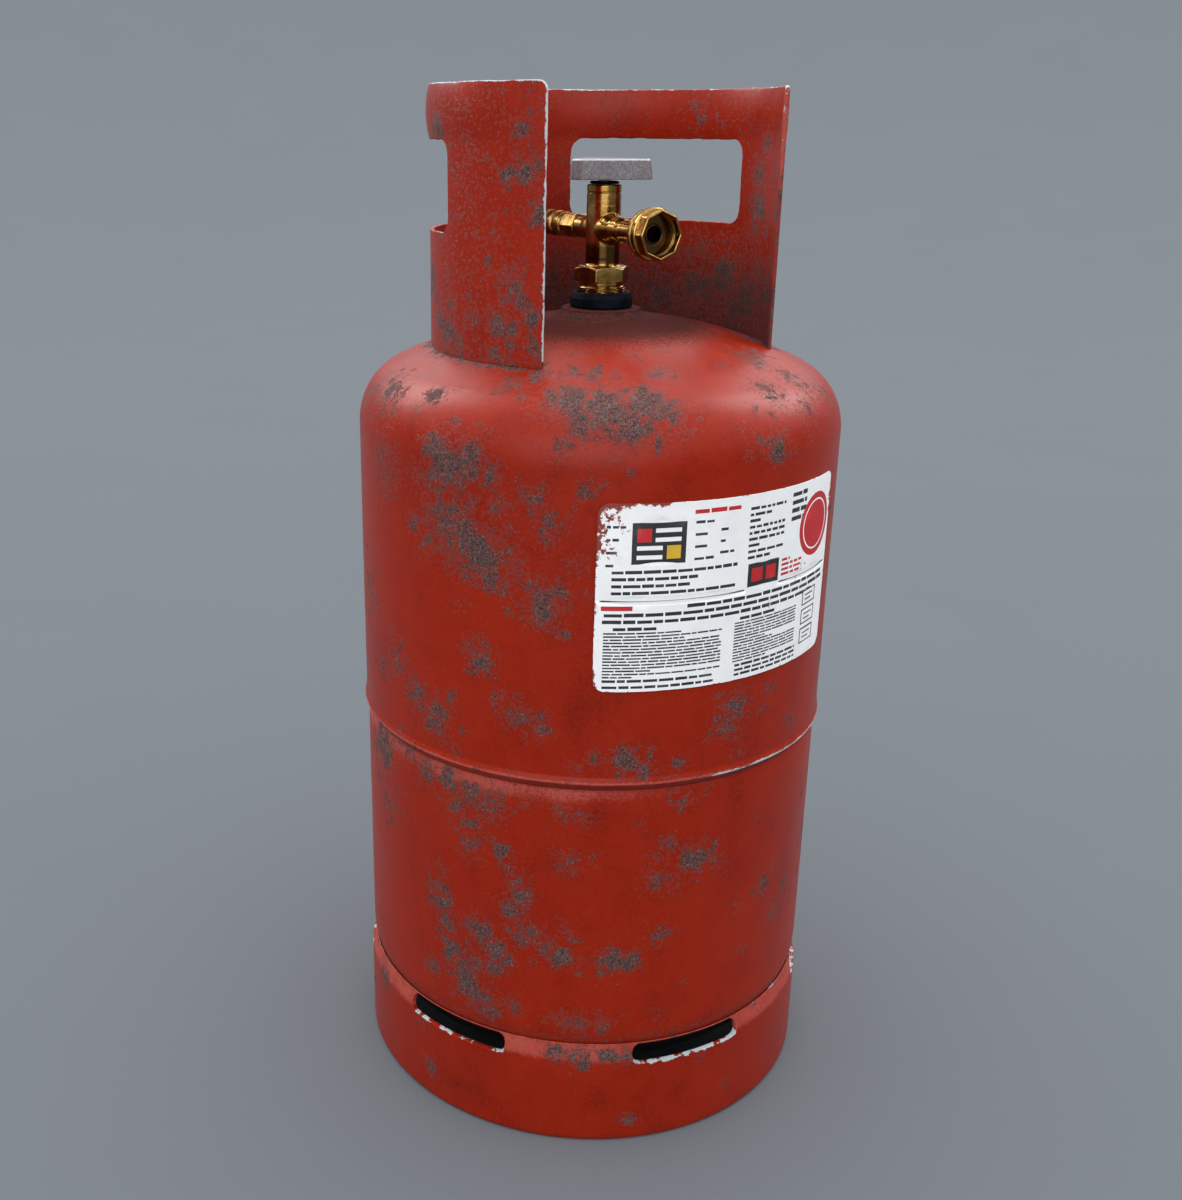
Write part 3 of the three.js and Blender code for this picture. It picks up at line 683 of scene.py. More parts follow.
def build(node, part, materials, angle=40, merge=False, groups=None, **attributes):
    """Makes a piece that stands for a CAD node, on its body and in its material slot.
    attributes: how much rust, edge wear, chalky whitening (partly a painted highlight) and grime (partly
    painted shade) there is, as numbers or functions of the points."""
    verts, faces = part
    materials = materials if isinstance(materials, (list, tuple)) else [materials]
    mesh = bpy.data.meshes.new(node + "_detailed")
    mesh.from_pydata((np.asarray(verts) * MM).tolist(), [], faces)
    for name in ("rust", "edge", "chalk", "grime"):
        values = attributes.get(name, 0.0)
        values = values(np.asarray(verts)) if callable(values) else values
        layer = mesh.attributes.new(name, "FLOAT", "POINT")
        layer.data.foreach_set("value", np.broadcast_to(values, len(verts)).astype(np.float32))
    for material in materials:
        mesh.materials.append(material)
    if groups is not None:
        mesh.polygons.foreach_set("material_index", groups)
    shape = bmesh.new()
    shape.from_mesh(mesh)
    if merge:
        bmesh.ops.remove_doubles(shape, verts=shape.verts, dist=2e-6)
    bmesh.ops.recalc_face_normals(shape, faces=shape.faces)
    shape.to_mesh(mesh)
    shape.free()
    mesh.shade_smooth()
    mesh.set_sharp_from_angle(angle=math.radians(angle))
    piece = bpy.data.objects.new(mesh.name, mesh)
    bpy.context.scene.collection.objects.link(piece)
    weighted = piece.modifiers.new("weighted", "WEIGHTED_NORMAL")
    weighted.keep_sharp = True
    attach(piece, BODY[node])
    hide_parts(node)
    return piece


def solid_object(name, part):
    mesh = bpy.data.meshes.new(name)
    mesh.from_pydata((np.asarray(part[0])).tolist(), [], part[1])
    shape = bmesh.new()
    shape.from_mesh(mesh)
    bmesh.ops.recalc_face_normals(shape, faces=shape.faces)
    shape.to_mesh(mesh)
    shape.free()
    made = bpy.data.objects.new(name, mesh)
    bpy.context.scene.collection.objects.link(made)
    return made


def baked(obj):
    """The object's verts and faces with its modifiers applied; the object itself is removed."""
    bpy.context.view_layer.update()
    shown = obj.evaluated_get(bpy.context.evaluated_depsgraph_get())
    mesh = shown.to_mesh()
    verts = np.array([v.co for v in mesh.vertices])
    faces = [list(p.vertices) for p in mesh.polygons]
    shown.to_mesh_clear()
    bpy.data.objects.remove(obj)
    return verts, faces


def forged(parts, voxel, smoothing):
    """Parts grown together with soft fillets, as a forging is."""
    lump = solid_object("lump", joined(*parts))
    remesh = lump.modifiers.new("remesh", "REMESH")
    remesh.mode = "VOXEL"
    remesh.voxel_size = voxel
    smooth = lump.modifiers.new("smooth", "SMOOTH")
    smooth.iterations = smoothing
    smooth.factor = 0.5
    return baked(lump)


def combined(base, added=(), removed=()):
    """Joins solids to a base solid and then cuts others from it."""
    main = solid_object("main", base)
    tools = []
    for kind, parts in (("UNION", added), ("DIFFERENCE", removed)):
        for part in parts:
            tool = solid_object("tool", part)
            tool.hide_render = True
            tools.append(tool)
            step = main.modifiers.new(kind.lower(), "BOOLEAN")
            step.operation = kind
            step.solver = "MANIFOLD"
            step.object = tool
    made = baked(main)
    for tool in tools:
        bpy.data.objects.remove(tool)
    return made


# The shell's dimensions, from its CAD nodes.
LIP_PROUD = 1.2  # how far the lip stands out from the upper half
WELD_PROUD = 1.0
UPPER_STRAIGHT = 184.0  # from the seam up to the dome
LOWER_STRAIGHT = 166.0
upper_low, upper_high = box_mm("upper_shell")
SEAM_Z = upper_low.z
LIP = upper_high.x
SHELL_R = LIP - LIP_PROUD
LOWER_R = box_mm("girth_weld")[1].x - WELD_PROUD
WALL = 3.0
KNUCKLE = 40.0
CROWN = 295.0
SHOULDER_Z = SEAM_Z + UPPER_STRAIGHT
BASE_Z = SEAM_Z - LOWER_STRAIGHT
NECK_HOLE = 17.4


def dome(radius, knuckle, crown, hole, steps):
    """(radius, rise) points of a domed end above its cylinder."""
    centre = radius - knuckle
    tangent = math.acos(centre / (crown - knuckle))
    drop = (crown - knuckle) * math.sin(tangent)
    last = math.acos(hole / crown)
    bend = [tangent * i / steps for i in range(1, steps + 1)]
    cap = [tangent + (last - tangent) * i / steps for i in range(1, steps + 1)]
    points = [(centre + knuckle * math.cos(a), knuckle * math.sin(a)) for a in bend]
    points += [(crown * math.cos(a), crown * math.sin(a) - drop) for a in cap]
    points[-1] = (hole, points[-1][1])
    return points


CROWN_CENTRE_Z = SHOULDER_Z + dome(SHELL_R, KNUCKLE, CROWN, 0, 8)[-1][1] - CROWN


def crown_z(radius):
    return CROWN_CENTRE_Z + math.sqrt(CROWN**2 - radius**2)


def on_shell(azimuth, z):
    """A point on the tank's outside at an azimuth and height."""
    if z <= SHOULDER_Z:
        radius = SHELL_R
    else:
        knuckle = SHELL_R - KNUCKLE + math.sqrt(max(0.0, KNUCKLE**2 - (z - SHOULDER_Z) ** 2))
        crown = math.sqrt(max(0.0, CROWN**2 - (z - CROWN_CENTRE_Z) ** 2))
        radius = min(knuckle, crown)
    return polar(azimuth, radius, z)


# Corroded patches of the shell: azimuth, height, size, strength.
SHELL_SPOTS = [
    # the shoulder
    (-31, 466, 17, 1.0), (-40, 469, 15, 1.0), (-22, 468, 15, 1.0), (-36, 460, 11, 0.9), (-25, 458, 10, 0.9),
    (-50, 477, 9, 0.9), (-56, 473, 8, 0.8), (-40, 479, 8, 0.8), (-33, 480, 7, 0.7), (-14, 466, 8, 0.8),
    (-75, 465, 6, 1.0), (-70, 469, 3, 0.8), (14, 468, 10, 0.8), (9, 442, 10, 0.9), (4, 446, 7, 0.6),
    (30, 470, 11, 0.8), (37, 462, 9, 0.8), (26, 480, 12, 0.8), (35, 482, 9, 0.8), (24, 458, 8, 0.7),
    (-7, 487, 6, 0.5),
    # upper left of the front
    (-65, 429, 15, 1.0), (-60, 437, 11, 0.9), (-69, 438, 10, 0.9), (-69, 416, 8, 0.7), (-53, 412, 8, 0.7),
    (-45, 418, 9, 0.7), (-42, 402, 9, 0.7), (-57, 385, 15, 1.0), (-67, 399, 14, 1.0), (-60, 391, 12, 1.0),
    (-64, 378, 9, 0.8), (-50, 380, 9, 0.8), (-43, 356, 11, 0.9), (-40, 366, 8, 0.7), (-52, 366, 7, 0.6),
    (-72, 380, 8, 0.6), (-36, 384, 7, 0.6), (-68, 402, 11, 0.9), (-62, 404, 10, 0.8), (-34, 425, 7, 0.6),
    (-70, 440, 8, 0.7), (-62, 352, 6, 0.5), (-30, 440, 7, 0.5), (-14, 386, 7, 0.5),
    # above the seam
    (-60, 326, 6, 0.8), (-57, 320, 8, 0.9), (-52, 300, 6, 0.7), (-48, 290, 8, 0.9), (-43, 283, 6, 0.7),
    (-76, 285, 12, 0.8), (-70, 276, 12, 0.9), (-84, 300, 12, 0.7), (-31, 268, 5, 0.8), (-24, 266, 8, 0.9),
    (-20, 259, 7, 0.8), (-35, 262, 5, 0.7), (2, 292, 10, 0.9), (0, 280, 8, 0.9), (12, 296, 6, 0.6),
    (4, 262, 5, 0.7), (-12, 262, 5, 0.8), (22, 268, 8, 0.7),
    # below the seam
    (-80, 244, 9, 0.9), (-74, 238, 9, 0.9), (-66, 236, 9, 0.9), (-60, 232, 9, 0.9), (-55, 228, 10, 0.9),
    (-64, 222, 8, 0.8), (-58, 214, 7, 0.8), (-52, 238, 6, 0.7), (-46, 236, 5, 0.7), (-38, 232, 6, 0.8),
    (-33, 228, 6, 0.7), (-12, 246, 5, 0.9), (-10, 236, 6, 0.8), (-4, 242, 5, 0.6), (-60, 198, 8, 0.8),
    (-52, 200, 6, 0.8), (-36, 198, 9, 0.7), (-13, 210, 6, 0.8), (-7, 198, 9, 1.0), (-2, 196, 6, 0.8),
    (-15, 202, 6, 0.6), (0, 190, 8, 0.6), (12, 214, 5, 0.5), (36, 204, 6, 0.6), (30, 196, 5, 0.5),
    (-20, 222, 5, 0.5),
    # lower half
    (-50, 188, 6, 0.8), (-48, 178, 7, 0.9), (-47, 171, 8, 1.0), (-50, 161, 7, 1.0), (-70, 158, 8, 0.9),
    (-68, 150, 8, 1.0), (-67, 138, 8, 1.0), (-57, 140, 9, 1.0), (-53, 130, 9, 1.0), (-44, 146, 8, 1.0),
    (-41, 140, 7, 0.9), (-37, 134, 7, 1.0), (-36, 151, 5, 0.8), (-66, 120, 8, 0.9), (-62, 110, 9, 0.9),
    (-58, 116, 8, 0.9), (-54, 118, 7, 1.0), (-61, 98, 9, 1.0), (-57, 92, 10, 1.0), (-55, 84, 8, 1.0),
    (-26, 135, 7, 0.9), (-21, 131, 7, 1.0), (-24, 128, 6, 0.8), (-15, 146, 6, 0.8), (-12, 150, 5, 0.6),
    (-36, 88, 7, 0.9), (-32, 86, 8, 0.9), (-27, 86, 7, 0.8), (-16, 186, 7, 0.8), (-11, 182, 6, 0.7),
    (-48, 92, 6, 0.6), (-14, 92, 6, 0.5), (16, 160, 7, 0.8), (20, 168, 6, 0.7), (22, 132, 9, 0.8),
    (10, 120, 6, 0.6), (6, 156, 6, 0.5), (28, 148, 8, 0.8), (-72, 100, 8, 0.8), (-70, 176, 6, 0.5),
    (-8, 112, 5, 0.5),
]
SHELL_SPOTS += strewn(80, 5, (42, 272), (80, 478))
SHELL_CENTRES = scattered(on_shell, SHELL_SPOTS, 11)
collar_high = box_mm("guard_collar")[1]
COLLAR_R = collar_high.x - 2.0


def shell_rust_and_shade(co):
    rust = density(co, SHELL_CENTRES)
    reach = np.hypot(co[:, 0], co[:, 1])
    domed = co[:, 2] > SHOULDER_Z
    inside = reach < COLLAR_R
    # Round the collar's foot, wider inside it, and round the boss, wider behind it, the corrosion is partly
    # real and partly painted shade and the painted reflection of the collar's dark inner wall.
    foot = bell(reach - COLLAR_R, np.where(inside, 30.0, 7.0)) * domed
    foot *= np.where(inside, 1.0, 0.85) * arc_zone(co, 180, 124, 8)
    behind = arc_zone(co, 160, 95, 30)
    weld_r, crease_z = 27, 74
    neck = bell(reach - weld_r, 9.0 + 13.0 * behind) * domed * 0.7
    seam = bell(co[:, 2] - SEAM_Z, 6.0) * 0.35
    crease = bell(co[:, 2] - crease_z, 7.0) * 0.45
    return np.maximum.reduce([rust, foot, neck, seam, crease])


def seam_painted_highlight(co):
    """A painted highlight on the band of paint below the seam, strongest on the left, and on the lip above
    it.
    """
    band = np.clip((SEAM_Z - 3.5 - co[:, 2]) / 1.5, 0, 1) * np.clip((co[:, 2] - SEAM_Z + 18) / 9, 0, 1)
    band *= 0.15 + 0.65 * arc_zone(co, -84, 45, 30)
    lip = bell(co[:, 2] - SEAM_Z - 1.6, 1.3) * 0.9
    return np.maximum(band, lip)


def crown_dirt_and_shade(co):
    """Dirt on the crown round the boss, which also paints shade and the reflection of the collar's dark inner
    wall there.
    """
    reach = np.hypot(co[:, 0], co[:, 1])
    return np.clip((90 - reach) / 38, 0, 1) * (co[:, 2] > SHOULDER_Z)


def dented(part, depth, scale, seed):
    """Very slight waves and dents in drawn plate, always inwards."""
    verts, faces = part
    moved = []
    for x, y, z in verts:
        wave = noise.fractal(Vector((x * scale, y * scale, z * scale + seed)), 1.0, 2.0, 3)
        pull = 1 - depth * min(1.0, max(0.0, 0.5 + 0.5 * wave)) / max(math.hypot(x, y), 60.0)
        moved.append((x * pull, y * pull, z))
    return np.array(moved), faces


def build_shells():
    inside_r = SHELL_R - WALL
    outside = dome(SHELL_R, KNUCKLE, CROWN, NECK_HOLE, 40)
    inside = dome(inside_r, KNUCKLE - WALL, CROWN - WALL, NECK_HOLE, 8)
    lip = [
        (inside_r, SEAM_Z, 0.6), (LIP - 0.7, SEAM_Z, 0.9), (LIP, SEAM_Z + 1.3, 1.2),
        (LIP - 0.45, SEAM_Z + 2.9, 2.0), (SHELL_R, SEAM_Z + 5.2, 3.0), (SHELL_R, SHOULDER_Z),
    ]
    path = densify(rounded(lip), 3.0)
    path += [(r, SHOULDER_Z + z) for r, z in outside]
    path += [(r, SHOULDER_Z + z) for r, z in reversed(inside)]
    path += densify([(inside_r, SHOULDER_Z), (inside_r, SEAM_Z + 2)], 30)
    part = dented(lathe(path, SHELL_SEGMENTS), 0.35, 0.012, 4.0)
    chips = lambda co: (
        bell(co[:, 2] - SEAM_Z - 1.0, 1.6) * (0.35 + 0.75 * arc_zone(co, 25, 26))
        * (np.hypot(co[:, 0], co[:, 1]) > SHELL_R - 1)
    )
    build("upper_shell", part, ENAMEL, rust=shell_rust_and_shade, edge=chips, chalk=seam_painted_highlight, grime=crown_dirt_and_shade)

    rim = SHELL_R - WALL - GAP
    outside = dome(LOWER_R, KNUCKLE, CROWN, 0, 36)
    inside = dome(LOWER_R - WALL, KNUCKLE - WALL, CROWN - WALL, 0, 8)
    top = [
        (rim - WALL, SEAM_Z + 14), (rim, SEAM_Z + 14), (rim, SEAM_Z - 1.5, 2),
        (LOWER_R - 2.2, SEAM_Z - 4.0, 2),
        (LOWER_R - 0.9, SEAM_Z - 8.0, 20), (LOWER_R, SEAM_Z - 17, 30), (LOWER_R, BASE_Z),
    ]
    joggle = [(LOWER_R - WALL, BASE_Z), (LOWER_R - WALL, SEAM_Z - 7), (rim - WALL, SEAM_Z - 2.5)]
    path = [(0, BASE_Z - inside[-1][1])] + [(r, BASE_Z - z) for r, z in reversed(inside[:-1])]
    path += densify(joggle + [(rim - WALL, SEAM_Z + 13)], 30)
    path += densify(rounded(top), 3.0)
    path += [(r, BASE_Z - z) for r, z in outside]
    path[-1] = (0, path[-1][1])
    part = dented(lathe(path, SHELL_SEGMENTS), 0.35, 0.012, 9.0)
    # Faces below the foot ring's top take the near-black enamel: painted shade seen through the slots.
    hidden = box_mm("foot_ring")[1].z - 1.5
    groups = [int(min(part[0][i][2] for i in face) < hidden) for face in part[1]]
    rust = lambda co: shell_rust_and_shade(co) * (co[:, 2] > hidden - 2)
    build("lower_shell", part, [ENAMEL, PAINTED_SHADE], groups=groups, rust=rust, chalk=seam_painted_highlight)


def weld_bead(path, ripples, height, segments):
    """A weld bead from an outline of (radius, height, outwardness) points, with ripples along it."""
    loops = []
    for r, z, out in path:
        def radius(angles, r=r, out=out):
            wobble = np.abs(np.sin(angles * ripples / 2 + 0.25 * np.sin(angles * 7))) - 0.6
            drift = 0.3 * np.sin(angles * 5 + 1) + 0.25 * np.sin(angles * 13)
            return r + out * height * (wobble + drift)
        loops.append((radius, z))
    return lathe(loops, segments)


def build_welds():
    top = box_mm("girth_weld")[1].z
    path = [
        (147.2, top, 0), (147.2, top - 0.9, 0), (LOWER_R - 2.2, top - 3.9, 0.2),
        (LOWER_R - 1.6, top - 3.6, 0.6),
        (LOWER_R - 1.0, top - 2.9, 1), (LOWER_R - 0.5, top - 2.0, 1), (LOWER_R - 0.2, top - 1.0, 0.8),
        (LOWER_R - 0.1, top, 0.2),
    ]
    build("girth_weld", weld_bead(path, 460, 0.22, 1840), WELD, rust=0.15)
    root = box_mm("valve_boss")[1].x + GAP
    toe = 28.4
    rise = crown_z(root) + 3.2
    path = [
        (root, crown_z(root) + 0.05, 0), (toe - 0.1, crown_z(toe) + 0.05, 0),
        (toe - 0.7, crown_z(toe) + 0.6, 0.6),
        (26.8, crown_z(26.8) + 1.15, 1), (25.9, crown_z(26) + 1.75, 1), (25.2, crown_z(25) + 2.4, 0.7),
        (root, rise, 0),
    ]
    build("boss_weld", weld_bead(path, 70, 0.32, 560), WELD, rust=0.6, grime=0.8)


def build_boss():
    low, high = box_mm("valve_boss")
    radius, bore, neck, flange = high.x, 12.9, 17.0, high.z - 3.6
    points = [
        (bore, low.z, 0.3), (neck, low.z, 0.4), (neck, flange, 0.3), (radius, flange, 0.3),
        (radius, high.z, 1.0), (bore, high.z, 0.4),
    ]
    from_rim = lambda co: np.hypot(radius - 0.6 - np.hypot(co[:, 0], co[:, 1]), high.z - co[:, 2])
    build("valve_boss", turned(points, step=1.2), WELD, rust=0.6,
          edge=lambda co: 0.4 * bell(from_rim(co), 0.9), grime=0.8)


# ---- guard collar ----
COLLAR_WALL = 2.6
TOP_Z = collar_high.z
RAIL_Z = TOP_Z - 30
COLLAR_SPOTS_OUT = [
    (-58, 606, 7, 0.9), (-62, 582, 7, 1.0), (-56, 584, 7, 1.0), (-53, 588, 6, 0.9), (-52, 562, 7, 1.0),
    (-66, 548, 5, 0.6), (-62, 528, 8, 0.8), (-59, 519, 7, 0.9), (-54, 508, 7, 0.9), (-66, 502, 8, 1.0),
    (-76, 504, 7, 0.9), (-60, 500, 6, 0.8), (-90, 494, 10, 1.0), (-97, 500, 9, 0.9), (-84, 488, 8, 0.9),
    (-68, 486, 7, 0.8), (-52, 488, 7, 0.8), (-96, 608, 8, 1.0), (-100, 596, 8, 0.9), (-92, 588, 7, 0.9),
    (-80, 600, 5, 0.6), (-78, 590, 5, 0.6), (-70, 536, 6, 0.6), (-64, 512, 6, 0.7),
]
COLLAR_SPOTS_OUT += strewn(26, 6, (50, 255), (486, 625), (6, 13))
COLLAR_SPOTS_IN = [
    (109, 505, 14, 1.0), (96, 514, 14, 1.0), (84, 508, 12, 1.0), (74, 524, 10, 0.9), (115, 526, 10, 0.8),
    (79, 580, 9, 0.9), (77, 560, 10, 0.9), (80, 545, 9, 0.8), (73, 597, 8, 0.8), (80, 498, 12, 1.0),
    (66, 510, 12, 0.9), (144, 611, 6, 0.6), (113, 619, 6, 0.7), (110, 612, 5, 0.8), (60, 605, 8, 0.7),
    (56, 560, 8, 0.9), (55, 530, 9, 0.9), (90, 494, 12, 1.0), (125, 500, 12, 0.9), (140, 498, 12, 0.8),
    (62, 580, 8, 0.8), (68, 550, 7, 0.8), (-172, 600, 7, 0.9), (-168, 584, 6, 0.8), (-174, 560, 7, 0.7),
]
COLLAR_SPOTS_IN += strewn(16, 7, (150, 300), (490, 622), (6, 12))


def build_collar():
    gap, from_window, to_window = 50.0, 90.5, 160.2
    window_low, window_high, corner = 549.0, RAIL_Z - 0.5, 9.0
    seat = crown_z(COLLAR_R) - 0.3
    arc = math.radians(1) * COLLAR_R

    def place(s, v, depth):
        bulge = 2.0 * np.clip(1 - ((v - (TOP_Z + RAIL_Z) / 2) / 15.0) ** 2, 0, None)
        from_end = np.minimum(s / arc - gap, 360 - gap - s / arc)
        bulge = bulge * (0.2 + 0.8 * np.clip((from_end - 6) / 28, 0, 1))
        return polar(s / arc, COLLAR_R + bulge * (1 - 2 * depth / COLLAR_WALL) - depth, v)

    frame_points = [
        (gap * arc, seat, 1.0), ((360 - gap) * arc, seat, 1.0),
        ((360 - gap) * arc, TOP_Z, 5.0), (gap * arc, TOP_Z, 4.0),
    ]
    edge_path = densify(rounded(frame_points, closed=True, steps=8), EDGE_STEP, closed=True)
    rims = [(ragged(edge_path, True, 0.35, 1.5), True)]
    for middle in ((from_window + to_window) / 2, 360 - (from_window + to_window) / 2):
        half = (to_window - from_window) / 2 * arc
        hole = slot_outline(middle * arc, half, window_low, window_high, corner)
        rims.append((ragged(hole, True, 0.5, middle), True))
    verts, faces, _, close = plate(rims, [0], [1, 2], place, COLLAR_WALL, 0.75, 2.6)

    inner = np.hypot(verts[:, 0], verts[:, 1]) < COLLAR_R - COLLAR_WALL / 2
    on_wall = lambda radius: (lambda azimuth, z: polar(azimuth, radius, z))
    out_centres = scattered(on_wall(COLLAR_R), COLLAR_SPOTS_OUT, 12, 4)
    in_centres = scattered(on_wall(COLLAR_R - COLLAR_WALL), COLLAR_SPOTS_IN, 13, 4)
    rust = np.where(inner, density(verts, in_centres), density(verts, out_centres))
    # More rust and grime low on the inside: partly painted shade where the collar shades itself.
    low_inside = np.clip((556 - verts[:, 2]) / 50, 0, 1) * inner
    lower_inside = 0.25 * inner + 0.42 * low_inside
    blistered = 0.32 * ~inner
    foot = bell(verts[:, 2] - seat, 9.0) * 0.6
    rust = np.maximum.reduce([rust, lower_inside, blistered, foot])
    free_edge = arc_zone(verts, -gap, 3, 2)
    worn_top = 0.25 + 0.35 * arc_zone(verts, -75, 35) + 0.3 * arc_zone(verts, 165, 22)
    top_edge = (verts[:, 2] > TOP_Z - 6) * worn_top
    other_edge = arc_zone(verts, gap, 2, 1)
    zone = np.clip(0.5 + 0.5 * free_edge + top_edge + 0.08 * other_edge * (verts[:, 2] > 585), 0, 1.0)
    zone *= verts[:, 2] > seat + 4
    rust = np.maximum(rust, 0.7 * other_edge * (verts[:, 2] < 585))
    # The upper end face at +gap gets chalky whitening that is partly a painted highlight.
    build("guard_collar", (verts, faces), ENAMEL, rust=rust, edge=close * zone, grime=0.75 * low_inside,
          chalk=0.8 * arc_zone(verts, gap, 1.2, 1) * (verts[:, 2] > 570))


# ---- foot ring ----
FOOT_R = box_mm("foot_ring")[1].x
FOOT_TOP = box_mm("foot_ring")[1].z


def build_foot_ring():
    wall = 3.0
    shoulder = FOOT_TOP - 12.8
    outer = densify(rounded([
        (FOOT_R - 5.6, 0), (FOOT_R, 0, 2.8), (FOOT_R, shoulder, 9), (FOOT_R - 0.5, shoulder + 4.5, 9),
        (FOOT_R - 1.6, shoulder + 9, 8), (147.6, FOOT_TOP),
    ], steps=6), 0.8)
    outer = np.array(outer)
    length = np.concatenate(([0], np.cumsum(np.linalg.norm(np.diff(outer, axis=0), axis=1))))
    tangent = np.gradient(outer, axis=0)
    tangent /= np.linalg.norm(tangent, axis=1)[:, None]
    arc = math.radians(1) * FOOT_R
    knuckle_centre = LOWER_R - KNUCKLE

    def place(s, v, depth):
        r, z = (np.interp(v, length, outer[:, k]) for k in (0, 1))
        tr, tz = (np.interp(v, length, tangent[:, k]) for k in (0, 1))
        r, z = r - tz * depth, z + tr * depth
        clear = knuckle_centre + np.sqrt(np.maximum((KNUCKLE + 0.15) ** 2 - (BASE_Z - z) ** 2, 0))
        return polar(s / arc, np.where(z > BASE_Z - KNUCKLE, np.maximum(r, clear), r), z)

    span = 360 * arc
    steps = round(span / 1.5)
    across = np.linspace(0, span, steps + 1)
    top = length[-1]
    v_of = lambda z: float(np.interp(z, outer[:, 1], length))
    bottom_rim = np.column_stack((across, np.zeros(steps + 1)))
    top_rim = np.column_stack((across[::-1], np.full(steps + 1, top)))

    def bite(s):
        at = Vector((math.sin(s / FOOT_R) * 9, math.cos(s / FOOT_R) * 9, 3))
        return max(0.0, noise.fractal(at, 1, 2, 4)) * 0.15

    top_rim[:, 1] -= np.array([bite(s) for s in top_rim[:, 0]])
    rungs = np.linspace(0, top, 28)[1:-1]
    start = np.zeros(len(rungs))
    rims = [
        (bottom_rim, False), (np.column_stack((start + span, rungs)), None),
        (top_rim, False), (np.column_stack((start, rungs[::-1])), None),
    ]
    slots, first_az, half_az, corner = 6, -5, 14.5, 5.6
    slot_low, slot_high = 57.6, 70.4
    joint_az = 30  # where the sheet's two ends meet, between two slots
    for i in range(slots):
        middle = (first_az + 360 // slots * i - joint_az) % 360
        hole = slot_outline(middle * arc, half_az * arc, v_of(slot_low), v_of(slot_high), corner)
        rims.append((ragged(hole, True, 0.15, i + 0.5), True))
    spun = lambda s, v, depth: place(s + joint_az * arc, v, depth)
    holes = list(range(4, 4 + slots))
    verts, faces, _, close = plate(rims, [0, 1, 2, 3], holes, spun, wall, 0.35, 2.6)

    spots = [
        (-38, 66, 6, 1.0), (-34, 64, 6, 1.0), (-31, 58, 5, 0.8), (-26, 65, 5, 1.0), (-21, 64, 6, 1.0),
        (-20, 15, 5, 0.9), (-1, 55, 5, 0.6), (-72, 22, 6, 0.8), (-76, 54, 5, 0.7), (-95, 58, 9, 0.8),
        (6, 24, 5, 0.6), (30, 30, 6, 0.6),
    ]
    spots += strewn(24, 8, (45, 265), (5, 68), (5, 12))
    rust = density(verts, scattered(lambda azimuth, z: polar(azimuth, FOOT_R, z), spots, 14, 4))
    height = verts[:, 2]
    rust = np.maximum(rust, bell(height - FOOT_TOP, 3.5) * 0.45)
    rust = np.maximum(rust, bell(height, 3.0) * 0.35)
    lower_lip = np.clip((63 - height) / 3, 0, 1)
    patchy = np.array([
        noise.fractal(Vector((x * 0.16, y * 0.16, z * 0.16)), 1.0, 2.0, 3) for x, y, z in verts
    ])
    lit_lip = 0.33 + 0.2 * arc_zone(verts, -1, 18) + 0.5 * patchy
    slotted = height > 50
    zone = np.where(slotted, 0.45 + lit_lip * lower_lip, 0.35)
    close = np.where(slotted, close ** 0.55, close)
    zone = zone + 0.3 * (bell(height - FOOT_TOP, 2.0) * arc_zone(verts, 40, 18))
    # Pale whitening on the shoulder above the slots, which faces up: a painted highlight.
    chalk = 0.7 * np.clip((height - 57) / 5, 0, 1)
    build("foot_ring", (verts, faces), ENAMEL, merge=True, rust=rust, edge=close * zone, chalk=chalk)


